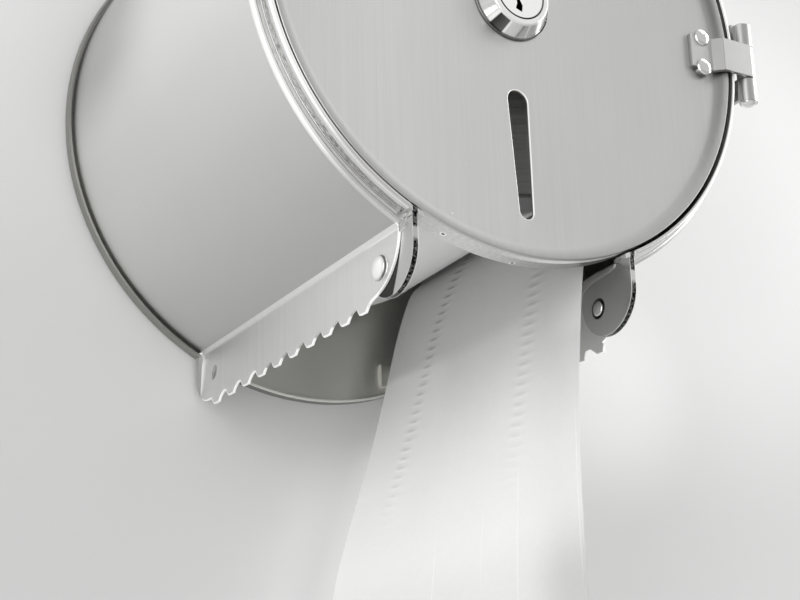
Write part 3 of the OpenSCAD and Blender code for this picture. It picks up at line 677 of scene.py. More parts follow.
earMarks = {
    "outer": 0.0337, "noseOut": -0.1003, "noseUp": -0.069238, "noseRadius": 0.0146,
    "rivetOut": -0.1056, "rivetUp": -0.07704, "paintedShade": 0.95, "hole": 0.85, "cutHighlight": 0.2,
    "cutFacing": (0.25, 0.6, 1.0, 0.0), "cutSide": (0.03205, 0.0321),
    "edgeSide": (0.03228, 0.03362, 0.00006), "lowEndUp": (-0.0732, -0.0748),
    "highEndUp": (-0.0712, -0.0705), "darkGrain": (0.44, 0.60, 0.66, 0.46),
    "cutHighlightUp": (-0.0695, -0.0705), "dropUp": (-0.0712, -0.0853, 0.0, 1.0, False),
    "crescentSoft": (-0.0002, 0.0002, 1.0, 0.0), "outsideFacing": (0.4, 0.7),
    "crescentUp": (-0.0680, -0.0683), "lineUp": (-0.06812, -0.06788, 0.00006),
    "lineOut": (-0.1172, -0.1175), "rootOut": (-0.1152, -0.1149),
    "rootUp": (-0.0712, -0.0680, 0.0001), "rootSide": (0.0341, 0.0343),
    "shadeUp": (-0.06712, -0.06702), "shadeOut": (-0.1137, -0.1134), "shadeSide": (0.0325, 0.0323),
    "holeReach": (0.0028, 0.0029, 1.0, 0.0),
}


# The ears' sheared edges are dark and burred, with painted shade at their top under the fold and a
# painted highlight on their corners. Painted shade lies on the outer face ahead of the blade's nose and
# round the fold, and the hole round the rivet is painted black as shade.
def earFinish(tree, tone, height, coords, x, y, z, radius, turn):
    given = earMarks
    depth, side = abs(x), sidewaysFacing(tree)
    cut = ramp(side, *given["cutFacing"]) * ramp(depth, *given["cutSide"])
    edge = bandMask(depth, *given["edgeSide"]) * cut
    burr = noiseAt(scaled(coords, 1300.0), 1.0, 4.0, 0.75)
    # The burr is darker at both ends: low down as burr, and at the top painted shade under the fold.
    ends = ramp(z, *given["lowEndUp"]) + ramp(z, *given["highEndUp"])
    dark = edge * ramp(burr, *given["darkGrain"]) * (0.12 + ends * 0.88)
    # Painted highlight on the corners of the cut edge, below the fold.
    cutHighlight = cut * (1.0 - edge) * ramp(z, *given["cutHighlightUp"])
    # Painted shade on the outer face: a crescent ahead of the blade's nose, a line under the fold's
    # corner plate, and the fold's root and top.
    away = distanceFrom(y, z, given["noseOut"], given["noseUp"]) - given["noseRadius"]
    drop = ramp(z, *given["dropUp"])
    paintedShade = ramp(away - (drop * drop * 0.0041 + 0.0001), *given["crescentSoft"])
    outside = ramp(depth, given["outer"] - 0.0002, given["outer"]) * ramp(side, *given["outsideFacing"])
    paintedShade *= outside * ramp(z, *given["crescentUp"])
    paintedShade = larger(paintedShade, bandMask(z, *given["lineUp"]) * outside * ramp(y, *given["lineOut"]))
    root = ramp(y, *given["rootOut"]) * bandMask(z, *given["rootUp"])
    paintedShade = larger(paintedShade, root * ramp(depth, *given["rootSide"]))
    shade = ramp(z, *given["shadeUp"]) * ramp(y, *given["shadeOut"])
    paintedShade = larger(paintedShade, shade * ramp(x, *given["shadeSide"]))
    # Painted shade: the hole round the rivet is painted black.
    hole = ramp(distanceFrom(y, z, given["rivetOut"], given["rivetUp"]), *given["holeReach"])
    tone = (tone * (1.0 - paintedShade * given["paintedShade"]) - dark) * (1.0 - hole * given["hole"])
    return clamped(tone + cutHighlight * given["cutHighlight"]), height + burr * edge * 3.0, cutHighlight * 0.7


backMarks = {
    "inside": 0.6, "side": 0.42, "lip": 0.3, "lipTopShade": 0.4, "behind": 0.88, "holeOut": -0.0105,
    "holeUp": -0.07664, "rimRadius": (0.0771, 0.0775), "lipOut": (-0.0026, -0.0028),
    "lipUp": (-0.0690, -0.0730), "behindReach": (0.0019, 0.0022, 1.0, 0.0),
    "behindSide": (0.0322, 0.0325),
}


# The pan is painted lighter towards the right inside its rim. The rim's side is darkened by painted
# shade, and its front lip has painted shade at the top and a painted highlight at the bottom. Painted
# shade makes the pan black behind the blades' rear holes.
def backFinish(tree, tone, height, coords, x, y, z, radius, turn):
    given = backMarks
    rim = ramp(radius, *given["rimRadius"])
    # Painted light: inside its rim the pan is painted lighter towards the right.
    tone *= 1.0 + (1.0 - rim) * ramp(x, 0.0, 0.030, 0.0, given["inside"])
    lip = rim * ramp(y, *given["lipOut"])
    side = rim - lip
    # Painted shade at the top of the front lip; further down, a painted highlight at its bottom.
    tone *= 1.0 - lip * ramp(z, -0.0690, -0.0730, given["lipTopShade"], 0.0)
    # Painted shade on the rim's side.
    tone *= 1.0 - side * given["side"]
    lip *= ramp(z, *given["lipUp"])
    # Painted shade: the pan is painted black behind the blades' rear holes.
    behind = ramp(distanceFrom(y, z, given["holeOut"], given["holeUp"]), *given["behindReach"])
    tone *= 1.0 - behind * ramp(abs(x), *given["behindSide"]) * given["behind"]
    return tone + lip * given["lip"], height, lip * 0.6


# Painted reflections round the chrome cone, as (place round the lock, brightness).
lockReflections = [(0.0, 0.74), (0.044, 0.78), (0.0475, 1.0), (0.055, 1.0), (0.0565, 0.16), (0.085, 0.10),
              (0.1162, 0.03), (0.1175, 1.0), (0.134, 0.95), (0.17, 0.84), (0.25, 0.72), (0.36, 0.9),
              (0.45, 0.6), (0.55, 0.95), (0.66, 0.55), (0.76, 0.85), (0.80, 0.5), (0.805, 0.10),
              (0.855, 0.16), (0.868, 0.55), (0.90, 0.68), (0.944, 0.78), (0.949, 1.0), (0.956, 0.72)]


lockMarks = {
    "coneFrom": 0.0089, "baseFrom": 0.0109, "baseTone": 0.07, "line": 0.4, "groove": 0.8,
    "plugRadius": 0.0070, "plugRim": 0.16, "coneOut": (-0.1227, -0.1223),
    "baseOut": (-0.1193, -0.1190), "lineOut": (-0.11892, -0.11878, 0.00004),
    "grooveRadius": (0.00735, 0.0075, 1.0, 0.0), "highlightTone": (0.5, 0.95),
    "plugOut": (-0.1227, -0.1229),
}


# The cone carries painted reflections. The flange is painted nearly black as a dark reflection, with a
# painted highlight line on it, and the groove round the plug is painted dark as shade. Bright places are
# made less metallic, so the painted highlights read pale.
def lockFinish(tree, tone, height, coords, x, y, z, radius, turn):
    reflections = addNode(tree, "ShaderNodeValToRGB", {0: turn / (2 * math.pi) + 0.5})
    stops = reflections.color_ramp.elements
    while len(stops) < len(lockReflections):
        stops.new(0.5)
    for stop, (position, bright) in zip(stops, lockReflections):
        stop.position = position
        stop.color = (bright, bright, bright, 1)
    bright = read(tree, "ShaderNodeSeparateColor", {0: reflections.outputs[0]})
    given = lockMarks
    cone = ramp(radius, given["coneFrom"], given["coneFrom"] + 0.0002) * ramp(y, *given["coneOut"])
    base = ramp(radius, given["baseFrom"], given["baseFrom"] + 0.0002) * ramp(y, *given["baseOut"])
    tone = blendValues(base, blendValues(cone, 1.0, bright), given["baseTone"])
    tone += base * bandMask(y, *given["lineOut"]) * given["line"]
    tone *= 1.0 - ramp(radius, *given["grooveRadius"]) * given["groove"]
    return tone, height, ramp(tone, *given["highlightTone"]) * 0.55


# The plug's face is satin white. The rest of the plug, the joint round the face and the keyhole's walls,
# is painted dark as shade.
def plugFinish(tree, tone, height, coords, x, y, z, radius, turn):
    given = lockMarks
    reach = given["plugRadius"]
    face = ramp(y, *given["plugOut"]) * ramp(radius, reach - 0.00015, reach, 1.0, 0.0)
    return blendValues(face, tone * given["plugRim"], 1.0), height, face * 0.8


# The rivet head carries a painted highlight on its crown and painted shade round its foot, deepest at the
# front edge.
headMarks = {
    "crown": 0.35, "rearEdge": 0.40, "frontEdge": 0.88, "headSide": (0.0346, 0.0348),
    "footReach": (0.0029, 0.0032),
}


def headFinish(tree, tone, height, coords, x, y, z, radius, turn):
    given = headMarks
    head = ramp(abs(x), *given["headSide"])
    away = distanceFrom(y, z, earMarks["rivetOut"], earMarks["rivetUp"])
    # Painted shade round the foot, deepest at the front edge, and a painted highlight on the crown.
    foot = head * ramp(away, *given["footReach"])
    foot *= ramp(y, -0.1050, -0.1078, given["rearEdge"], given["frontEdge"])
    tone += head * ramp(away, 0.0020, 0.0029, given["crown"], 0.0)
    return clamped(tone * (1.0 - foot)), height, head * 0.66


materials = {
    "rivet": steel("rivetSteel", looks["polished"], headFinish),
    "drum": steel("drumSteel", looks["drum"], drumFinish),
    "door": steel("doorSteel", looks["door"], doorFinish),
    "ring": steel("ringSteel", looks["ring"], ringFinish),
    "blade": steel("bladeSteel", looks["blade"], bladeFinish),
    "ear": steel("earSteel", looks["ear"], earFinish),
    "hinge": steel("hingeSteel", looks["hinge"]),
    "back": steel("backSteel", looks["back"], backFinish),
    "turned": steel("turnedSteel", looks["turned"]),
    "polished": steel("polishedSteel", looks["polished"]),
    "chrome": steel("lockChrome", looks["chrome"], lockFinish),
    "plug": steel("plugChrome", looks["chrome"], plugFinish),
    "zinc": steel("zincSteel", looks["zinc"]),
}


def nylonMaterial():
    material, tree, surface = blankMaterial("hubNylon")
    coords = objectSpot(tree)[0]
    grain = noiseAt(coords, 900.0, 3.0)
    tone = 0.74 + (grain - 0.5) * 0.05
    coat(surface, tone, (1.0, 1.0, 0.96), 0.45, grain, 0.15)
    return material


def boardMaterial():
    material, tree, surface = blankMaterial("coreBoard")
    coords, _, y, _, _, turn = objectSpot(tree)
    spiral = turn * 6.0 + y * 160.0
    seam = ramp(abs(sums("SINE", spiral * 0.5)), 0.0, 0.05, 0.75, 1.0)
    fibre = noiseAt(coords, 1500.0, 4.0, 0.65)
    tone = seam * (0.92 + fibre * 0.2)
    coat(surface, tone, (0.56, 0.47, 0.36), 0.85, fibre, 0.3)
    return material


# Fine creases down the sheet, painted as highlight lines: place across it, where each starts and ends
# along it, and its strength.
creases = [(23.5, 108.0, 142.0, 0.10), (55.5, 124.0, 150.0, 0.08), (1.2, 98.0, 140.0, 0.08),
           (37.0, 118.0, 135.0, 0.05)]


# Painted shade on the sheet, or painted light where the strength is negative: from where to where it
# grows across and along it, whether the growth across is soft, where its strength changes along the
# sheet, and the strength before and after.
sheetShades = [
    (60.0, 92.0, 60.0, 67.0, False, 68.0, 104.0, 0.36, 0.0),
    (14.0, 32.0, 61.0, 68.0, True, 76.0, 104.0, 0.13, 0.04),
    (20.0, 6.0, 70.0, 78.0, True, 84.0, 104.0, -0.12, -0.04),
]


# Millimetres across and along the sheet, metres up.
sheetMarks = {
    "creaseHalf": 0.18, "creaseSoft": 0.15, "creaseEnds": 6.0, "topUp": (-0.11, -0.066, 1.06, 0.88),
    "lowAlong": (122.0, 142.0, 0.0, -0.11), "frontAcross": (22.0, 4.0),
    "frontUp": (-0.125, -0.15, 0.0, 0.16), "fadeAlong": (20.0, 100.0, 0.34, 0.12, False),
    "endAlong": (100.0, 126.0, 1.0, 0.0), "fadeAcross": (30.0, 60.0, 0.35, 1.0),
    "pressDepth": (0.22, 0.8),
}


# Painted shadow darkens the top of the sheet and painted light brightens its bottom; painted shade and
# light lie in patches, along the front edge low down and at the lower end. The pressed dashes get painted
# shade, the creases painted highlights.
def sheetShading(tree, value, z):
    given = sheetMarks
    across, along, press = [readLayer(tree, label) for label in ("across", "along", "press")]
    # Painted shadow at the top of the sheet, painted light at its bottom.
    value *= ramp(z, *given["topUp"])
    change = ramp(along, *given["lowAlong"])
    for side0, side1, down0, down1, soft, first, last, before, after in sheetShades:
        mask = ramp(across, side0, side1, 0.0, 1.0, soft) * ramp(along, down0, down1)
        change += mask * ramp(along, first, last, before, after, False)
    value = clamped(value * (1.0 + change))
    # Painted shade along the front edge low down.
    value -= ramp(across, *given["frontAcross"]) * ramp(z, *given["frontUp"])
    fade = ramp(along, *given["fadeAlong"]) * ramp(along, *given["endAlong"])
    fade *= ramp(across, *given["fadeAcross"])
    # Painted shade in the pressed dashes.
    value -= ramp(press, *given["pressDepth"]) * fade
    # Painted highlights along the creases.
    for place, first, last, strength in creases:
        half = given["creaseHalf"]
        line = bandMask(across, place - half, place + half, given["creaseSoft"])
        value += line * bandMask(along, first, last, given["creaseEnds"]) * strength
    return value


# Tissue: soft fibres, and on the roll the edges of its turns. The drum's shade is painted on the roll's
# front end and the front of its surface, so they are darker than the paper is, and painted light makes
# the rest of its surface lighter.
def tissueMaterial(name, wound, tone):
    material, tree, surface = blankMaterial(name)
    coords, _, y, z, radius, turn = objectSpot(tree)
    fibre = noiseAt(coords, 700.0, 5.0, 0.7)
    soft = noiseAt(coords, 60.0, 3.0)
    value = tone + (fibre - 0.5) * 0.06
    value += (soft - 0.5) * 0.04
    height = fibre
    if wound:
        # Painted shade on the front of the roll's surface and painted light further back.
        side = ramp(radius, 0.0506, 0.051) * ramp(y, -0.086, -0.095, -0.22, 0.7)
        end = ramp(y, -0.107, -0.108, 1.0, 0.54) * (1.0 - side)
        value = clamped(value * end)
        rings = noiseAt(vectorOf(radius * 3200.0, turn * 0.6, 0.0), 1.0, 3.0)
        value += (rings - 0.5) * 0.1
        height += rings
    else:
        value = sheetShading(tree, value, z)
    plug(surface, "Specular IOR Level", 0.2)
    coat(surface, value, (1.0, 1.0, 0.995), 0.9, height, 0.25, 0.00015)
    return material


materials["nylon"] = nylonMaterial()
materials["board"] = boardMaterial()
materials["rollPaper"] = tissueMaterial("rollTissue", True, 0.86)
materials["tailPaper"] = tissueMaterial("tailTissue", False, 0.88)
print("materials made:", len(materials))


# Drum and ring.
def makeDrum():
    wall = layout["drumRadius"]
    inner = wall - layout["sheet"]
    back = layout["plate"]
    shell = [(wall, back), (wall, layout["shoulderOut"]), (inner, layout["shoulderOut"]),
             (inner, back + layout["sheet"]), (inner - 8.0, back + layout["sheet"]), (inner - 8.0, back)]
    piece = tidyMesh(lathe("drumShell", shell, 320, layout["mouthHalf"]))
    bevelEdges(piece, 0.12, 2, 45)
    return dress(evenNormals(piece), materials["drum"], "drum_steel", "drum_wall")


ring = {"corner": 1.3, "hemWidth": 2.2, "hemStep": 0.3, "groove": 0.14, "sleeve": 8.0,
        "sleeveMouth": 44.5}


def makeRing():
    wall, collar, inner = layout["drumRadius"], layout["collarRadius"], layout["collarInner"]
    sleeveOuter = wall - layout["sheet"]
    sleeveInner = sleeveOuter - layout["sheet"]
    front, step, shoulder = layout["depth"], layout["stepOut"], layout["shoulderOut"]
    hem = front - ring["hemWidth"]
    hemRadius = collar + ring["hemStep"]
    nose = ring["hemStep"] + 0.35
    profile = [(sleeveOuter, shoulder)]
    profile += arcPoints(wall - ring["corner"], shoulder, ring["corner"], 0, 90, 12)
    profile += [(collar + 0.45, step)]
    profile += arcPoints(collar + 0.35, step + 0.35, 0.35, 270, 180, 5)
    grooved = collar - ring["groove"]
    profile += [(collar, hem - 0.12), (grooved, hem - 0.04), (grooved, hem + 0.04)]
    profile += [(hemRadius - 0.1, hem + 0.14), (hemRadius, hem + 0.3)]
    profile += arcPoints(hemRadius - nose, front - nose, nose, 0, 90, 8)
    profile += arcPoints(inner + 0.2, front - 0.2, 0.2, 90, 180, 3)
    profile += [(inner, step - layout["sheet"]), (sleeveOuter, step - layout["sheet"])]
    face = tidyMesh(lathe("ringFace", profile, 420, layout["mouthHalf"]))
    sleeve = [(sleeveOuter - 0.02, shoulder - ring["sleeve"]), (sleeveOuter - 0.02, shoulder + 0.2),
              (sleeveInner, shoulder + 0.2), (sleeveInner, shoulder - ring["sleeve"])]
    tube = tidyMesh(lathe("ringSleeve", sleeve, 200, ring["sleeveMouth"]))
    piece = joinPieces("frontCollar", [face, tube])
    shadeByAngle(piece.data, 32)
    return dress(evenNormals(piece), materials["ring"], "drum_steel", "front_ring")


door = {"rim": 1.1, "shoulder": 3.0, "shoulderSteps": 14, "drop": 2.0, "skirt": 7.3, "segments": 320,
        "edge": 0.32, "slotTop": 26.0, "slotBottom": 61.9, "slotTopWidth": 6.15, "slotBottomWidth": 4.2,
        "slotShift": (0.6, 1.6), "barrel": 9.6, "barrelFlat": 8.4, "calmFrom": 66.0, "calmTo": 71.9,
        "calmLeast": 0.06}


def slotLoop(grow):
    topRadius = door["slotTopWidth"] / 2
    lowRadius = door["slotBottomWidth"] / 2
    topUp = -door["slotTop"] - topRadius
    lowUp = -door["slotBottom"] + lowRadius
    lean = math.degrees(math.asin((topRadius - lowRadius) / (topUp - lowUp)))
    loop = (arcPoints(0, topUp, topRadius + grow, -lean, 180 + lean, 28)
            + arcPoints(0, lowUp, lowRadius + grow, 180 + lean, 360 - lean, 22))
    first, last = door["slotShift"]
    return [(x + first + (last - first) * (up - topUp) / (lowUp - topUp), up) for x, up in loop]


def barrelLoop(grow):
    flat = door["barrelFlat"] + grow
    circle = arcPoints(0, 0, door["barrel"] + grow, 0, 355, 71)
    return [(max(-flat, min(flat, x)), up) for x, up in circle]


# Lets the run up into the rim shade as part of the flat face.
def calmShoulder(piece):
    mesh = piece.data
    width = layout["doorRadius"] - door["calmTo"]
    normals = []
    for loop, corner in zip(mesh.loops, mesh.corner_normals):
        place, normal = mesh.vertices[loop.vertex_index].co, Vector(corner.vector)
        radius = math.hypot(place.x, place.z) * 1000
        if radius > door["calmFrom"] and normal.y < -0.2 and place.y * 1000 < -layout["faceOut"] + 0.01:
            share = min(1.0, max(0.0, (radius - door["calmTo"]) / width))
            share = door["calmLeast"] + (1.0 - door["calmLeast"]) * share ** 3
            normal = Vector((0, -1, 0)).lerp(normal, share).normalized()
        normals.append(normal)
    mesh.normals_split_custom_set(normals)
    return piece


def makeDoor():
    radius, front, face = layout["doorRadius"], layout["depth"], layout["faceOut"]
    thick, count = layout["panel"], door["segments"]
    rimX, rimOut = radius - door["rim"], front - door["rim"]
    steps = door["shoulderSteps"]
    soft = [(rimX - door["shoulder"] * share, face + door["drop"] * (1 + math.cos(math.pi * share)) / 2)
            for share in [i / steps for i in range(1, steps + 1)]]
    outer = [(radius, front - door["skirt"])]
    outer += arcPoints(rimX, rimOut, door["rim"], 0, 90, 12) + soft
    inner = [(radius - thick, front - door["skirt"])]
    inner += arcPoints(rimX, rimOut, door["rim"] - thick, 0, 90, 4)
    inner += [(r, out - thick) for r, out in soft]
    points, faces, starts = [], [], []
    for profile in (outer, inner):
        starts.append(len(points))
        for r, out in profile:
            for i in range(count):
                turn = 2 * math.pi * i / count
                points.append(spot(r * math.cos(turn), out, r * math.sin(turn)))
        faces += rowFaces(starts[-1], len(profile), count)
    for i in range(count):
        j = (i + 1) % count
        faces.append((starts[0] + i, starts[0] + j, starts[1] + j, starts[1] + i))
    edge = door["edge"]
    discRadius = soft[-1][0]
    turns = [2 * math.pi * i / count for i in range(count)]
    disc = [(discRadius * math.cos(turn), discRadius * math.sin(turn)) for turn in turns]
    for out, grow in ((face, edge), (face - thick, 0.0)):
        holes = [slotLoop(grow), barrelLoop(grow)]
        flat = disc + holes[0] + holes[1]
        faces += [tuple(len(points) + v for v in t) for t in fillTriangles(disc, holes)]
        points += [spot(x, out, up) for x, up in flat]
    for loop in (slotLoop, barrelLoop):
        rows = [(face, edge), (face - edge * 0.35, edge * 0.3), (face - edge, 0.0), (face - thick, 0.0)]
        for (out0, grow0), (out1, grow1) in zip(rows, rows[1:]):
            one, two = loop(grow0), loop(grow1)
            faces += rowFaces(len(points), 2, len(one))
            points += [spot(x, out0, up) for x, up in one] + [spot(x, out1, up) for x, up in two]
    piece = evenNormals(tidyMesh(meshPiece("doorSkin", points, faces), 40))
    return dress(calmShoulder(piece), materials["door"], "door_steel", "door_panel")


makeDrum()
makeRing()
makeDoor()
print("drum, ring and door made")

# Blades. One tooth is its rear flank, land, front flank and flat, as lengths.
blade = {
    "thickness": 0.7, "edge": 0.42, "fillet": 1.5, "toothDepth": 2.2,
    "bend": [(-68.6, 2.4, 1.3), (-70.4, 2.2, 1.4), (-72.0, 1.2, 1.3), (-76.0, 0.8, 1.2),
             (-79.0, 0.6, 0.9), (-81.5, 0.4, 0.1)],
    "noseRadius": 14.6, "noseOut": 100.3, "heel": 5.0, "filletTurn": 18.35, "tipLean": 0.15,
    "rise": [(0.12, 0.24), (0.32, 0.54), (0.62, 0.84), (1.0, 1.0)],
    "holeOut": 10.5, "holeUp": -76.64, "hole": 2.0, "holeWidth": 0.80, "holeLean": 0.25,
    "plainFace": (33.2, 33.6), "meet": 33.75, "weldWidth": 8.0, "weldEnd": 98.9,
    "top": -68.0, "frontTop": -68.54,
    "left": {"reach": 17.2, "tooth": (1.7, 3.2, 3.5, 1.0), "first": 10.3, "count": 10},
    "right": {"reach": 19.5, "tooth": (2.9, 2.6, 0.9, 1.8), "first": 11.4, "count": 12},
}


def bladeOutline(kind):
    shape = blade[kind]
    valley = blade["toothDepth"] - layout["mouthTop"] - shape["reach"]
    heel, lean = blade["heel"], blade["tipLean"]
    back = layout["plate"]
    points = [(back, blade["top"])] + arcPoints(back + heel, valley + heel, heel, 180, 270, 10)
    rear, land, rise, flat = shape["tooth"]
    for i in range(shape["count"]):
        tip = shape["first"] + i * (rear + land + rise + flat)
        low = valley - blade["toothDepth"]
        points += [(tip - rear, valley), (tip, low), (tip + land, low - lean)]
        points += [(tip + land + rise * a, low - lean + (blade["toothDepth"] + lean) * b)
                   for a, b in blade["rise"]]
    noseUp = valley + blade["noseRadius"]
    noseTop = math.degrees(math.asin((-layout["mouthTop"] - 0.4 - noseUp) / blade["noseRadius"]))
    nose = arcPoints(blade["noseOut"], noseUp, blade["noseRadius"], -75, noseTop, 20)
    points += nose + [(nose[-1][0], blade["frontTop"]), (blade["weldEnd"], blade["frontTop"]),
                      (blade["weldEnd"], blade["top"])]
    return points


# The bend where the drum's wall turns down into the blade.
def mouthFillet(name):
    half, drop, size = layout["mouthHalf"], layout["mouthTop"], blade["fillet"]
    turn = math.degrees(math.asin(half / layout["drumRadius"]))
    reach = size * math.tan(math.radians(turn / 2 + blade["filletTurn"]))
    section = [(half - 0.2, -drop - reach)]
    section += arcPoints(half + size, -drop - reach, size, 180, 90 + turn, 8)
    section += [(half - 0.2, -drop + 0.25)]
    return straightBar(name, section, layout["plate"] + 0.9, layout["shoulderOut"] + 0.3)


# The blade's rear edge is bent outwards against the wall.
def rearBend(name):
    half, out = layout["mouthHalf"], layout["plate"]
    points = []
    for up, width, reach in blade["bend"]:
        points += [spot(half - 0.2, out, up), spot(half + reach, out, up),
                   spot(half + reach * 0.8, out + width * 0.7, up), spot(half - 0.2, out + width, up)]
    last = 4 * (len(blade["bend"]) - 1)
    faces = rowFaces(0, len(blade["bend"]), 4)
    faces += [(0, 1, 2, 3), (last, last + 3, last + 2, last + 1)]
    return tidyMesh(meshPiece(name, points, faces), 60)


def makeBlade(kind, name, node):
    x1 = layout["mouthHalf"]
    x0 = x1 - blade["thickness"]
    holeOut, holeUp = blade["holeOut"], blade["holeUp"]
    hole = [(holeOut + (out - holeOut) * blade["holeWidth"] + (up - holeUp) * blade["holeLean"], up)
            for out, up in arcPoints(holeOut, holeUp, blade["hole"], 0, 345, 23)]
    outline = bladeOutline(kind)
    sheet = cutSheet(name + "Sheet", outline, [hole], x0, x1, [insetLoop(outline, blade["edge"])])
    bevelEdges(sheet, 0.07, 2, 28)
    inner = layout["drumRadius"] - layout["sheet"]
    weld = wallStrip(name + "Weld", x0, x1 + blade["weldWidth"], layout["plate"] + layout["sheet"] + 1,
                     blade["weldEnd"], inner - 0.02, inner - layout["sheet"])
    piece = joinPieces(name, [sheet, weld, mouthFillet(name + "Fillet"), rearBend(name + "Bend")])
    markEdges(piece, outline, blade["edge"], x0, x1)
    if kind == "left":
        mirrorPiece(piece)
    shadeByAngle(piece.data, 32)
    return dress(evenNormals(piece), materials["blade"], "blade_steel", node)


makeBlade("left", "bladeLeft", "blade_left")
makeBlade("right", "bladeRight", "blade_right")
print("blades made")

# Plain nodes that only need their seams closed and their edges softened:
# node, piece, softening in millimetres, material, slot.
softened = [
    ("ear_left", "earLeft", 0.14, "ear", "ear_steel"),
    ("ear_right", "earRight", 0.14, "ear", "ear_steel"),
    ("back_plate", "backPan", 0.25, "back", "back_steel"),
    ("rear_lug_left", "lugLeft", 0.06, "back", "back_steel"),
    ("rear_lug_right", "lugRight", 0.06, "back", "back_steel"),
    ("spindle_flange", "spindleFoot", 0.3, "turned", "bright_steel"),
    ("flange_screws", "footScrews", 0.12, "polished", "fastener_steel"),
    ("spindle", "spindleRod", 0.3, "turned", "bright_steel"),
    ("hub_clip", "hubClip", 0.12, "zinc", "zinc_steel"),
    ("keeper_cup", "keeperCup", 0.2, "turned", "bright_steel"),
    ("keeper_screw", "keeperScrew", 0.15, "polished", "fastener_steel"),
    ("hinge_body_leaf", "hingeLeaf", 0.15, "hinge", "bright_steel"),
    ("hinge_door_leaf", "hingeStrap", 0.15, "hinge", "bright_steel"),
    ("hinge_pin", "hingePin", 0.12, "polished", "fastener_steel"),
    ("lock_washer", "lockWasher", 0.1, "zinc", "zinc_steel"),
    ("lock_nut", "lockNut", 0.3, "polished", "lock_chrome"),
    ("lock_plug", "lockPlug", 0.08, "plug", "lock_chrome"),
    ("lock_cam", "lockCam", 0.2, "zinc", "zinc_steel"),
    ("cam_screw", "camScrew", 0.12, "polished", "fastener_steel"),
    ("core_hub", "coreHub", 0.25, "nylon", "hub_nylon"),
    ("hub_cap", "hubCap", 0.2, "nylon", "hub_nylon"),
]
keyholeMoves = [((-0.5, 4.2), (-0.9, 4.2)), ((0.7, 4.4), (0.4, 4.4)), ((0.9, 2.2), (0.6, 1.2)),
                ((0.3, 0.6), (-0.35, -1.6)), ((1.1, -1.4), (0.58, -3.37)), ((1.1, -4.4), (0.26, -5.42)),
                ((-0.6, -3.6), (-1.71, -4.7)), ((-0.3, -1.2), (-1.2, -3.1)), ((-1.0, 0.8), (-1.45, -1.4)),
                ((-0.5, 2.4), (-0.6, 1.6))]


# Widens the plain plug's keyhole into the one a used lock has.
def reshapeKeyhole(place):
    if place.y < -0.1185:
        for (oldX, oldUp), (newX, newUp) in keyholeMoves:
            if math.hypot(place.x * 1000 - oldX, place.z * 1000 - oldUp) < 0.03:
                return Vector((newX / 1000, place.y, newUp / 1000))
    return place


# The ears and the rear brackets stand right against the thinner blades.
def meetBlade(place):
    low, high = blade["plainFace"]
    if low < abs(place.x) * 1000 < high:
        place.x = math.copysign(blade["meet"] / 1000, place.x)
    return place


changes = {"lock_plug": reshapeKeyhole, "ear_left": meetBlade, "ear_right": meetBlade,
           "rear_lug_left": meetBlade, "rear_lug_right": meetBlade}


# A fold along the top of each ear, and the plate that closes the corner beside it.
earFold = {
    "upper": [(99.2, -67.5), (101.5, -67.4), (103.84, -67.2), (107.41, -67.13), (110.94, -67.06),
              (113.0, -66.98), (113.9, -67.0)],
    "lower": [(98.9, -71.2), (100.6, -70.1), (102.71, -69.39), (107.2, -69.05), (111.63, -68.71),
              (113.6, -68.3), (114.3, -67.5)],
    "corner": [(113.8, -67.2), (116.2, -66.5), (118.3, -67.0), (118.3, -69.0), (116.9, -70.3),
               (114.3, -70.6), (113.6, -69.0)],
    # The fold's cross-section: share of the way down, and distance from the middle.
    "section": [(0.0, 32.2), (0.0, 31.95), (0.35, 31.75), (0.7, 31.8), (1.0, 31.98), (1.0, 32.2)],
}


def foldedEar(piece, left):
    points, size = [], len(earFold["section"])
    for (out0, up0), (out1, up1) in zip(earFold["upper"], earFold["lower"]):
        for share, depth in earFold["section"]:
            points.append(spot(depth, out0 + (out1 - out0) * share, up0 + (up1 - up0) * share))
    last = size * (len(earFold["upper"]) - 1)
    faces = rowFaces(0, len(earFold["upper"]), size)
    faces += [tuple(range(size)), tuple(range(last + size - 1, last - 1, -1))]
    fold = tidyMesh(meshPiece("earFold", points, faces), 50)
    corner = cutSheet("earCorner", earFold["corner"], [], 33.0, 34.42)
    bevelEdges(corner, 0.12, 2)
    added = joinPieces("earAdded", [fold, corner])
    if left:
        mirrorPiece(added)
    name = piece.name
    whole = joinPieces("earWhole", [piece, added])
    whole.name = name
    shadeByAngle(whole.data, 32)
    return whole


for node, name, width, material, slotName in softened:
    piece = softenedCopy(node, name, width, changes.get(node))
    if node.startswith("ear_"):
        piece = foldedEar(piece, node == "ear_left")
    dress(evenNormals(piece), materials[material], slotName, node)
print("small parts softened:", len(softened))

lock = {"radius": 11.6, "flange": 0.6, "height": 4.6, "barrel": 9.4, "flat": 8.2, "plug": 7.21,
        "lip": 1.8, "barrelBack": 112.0}


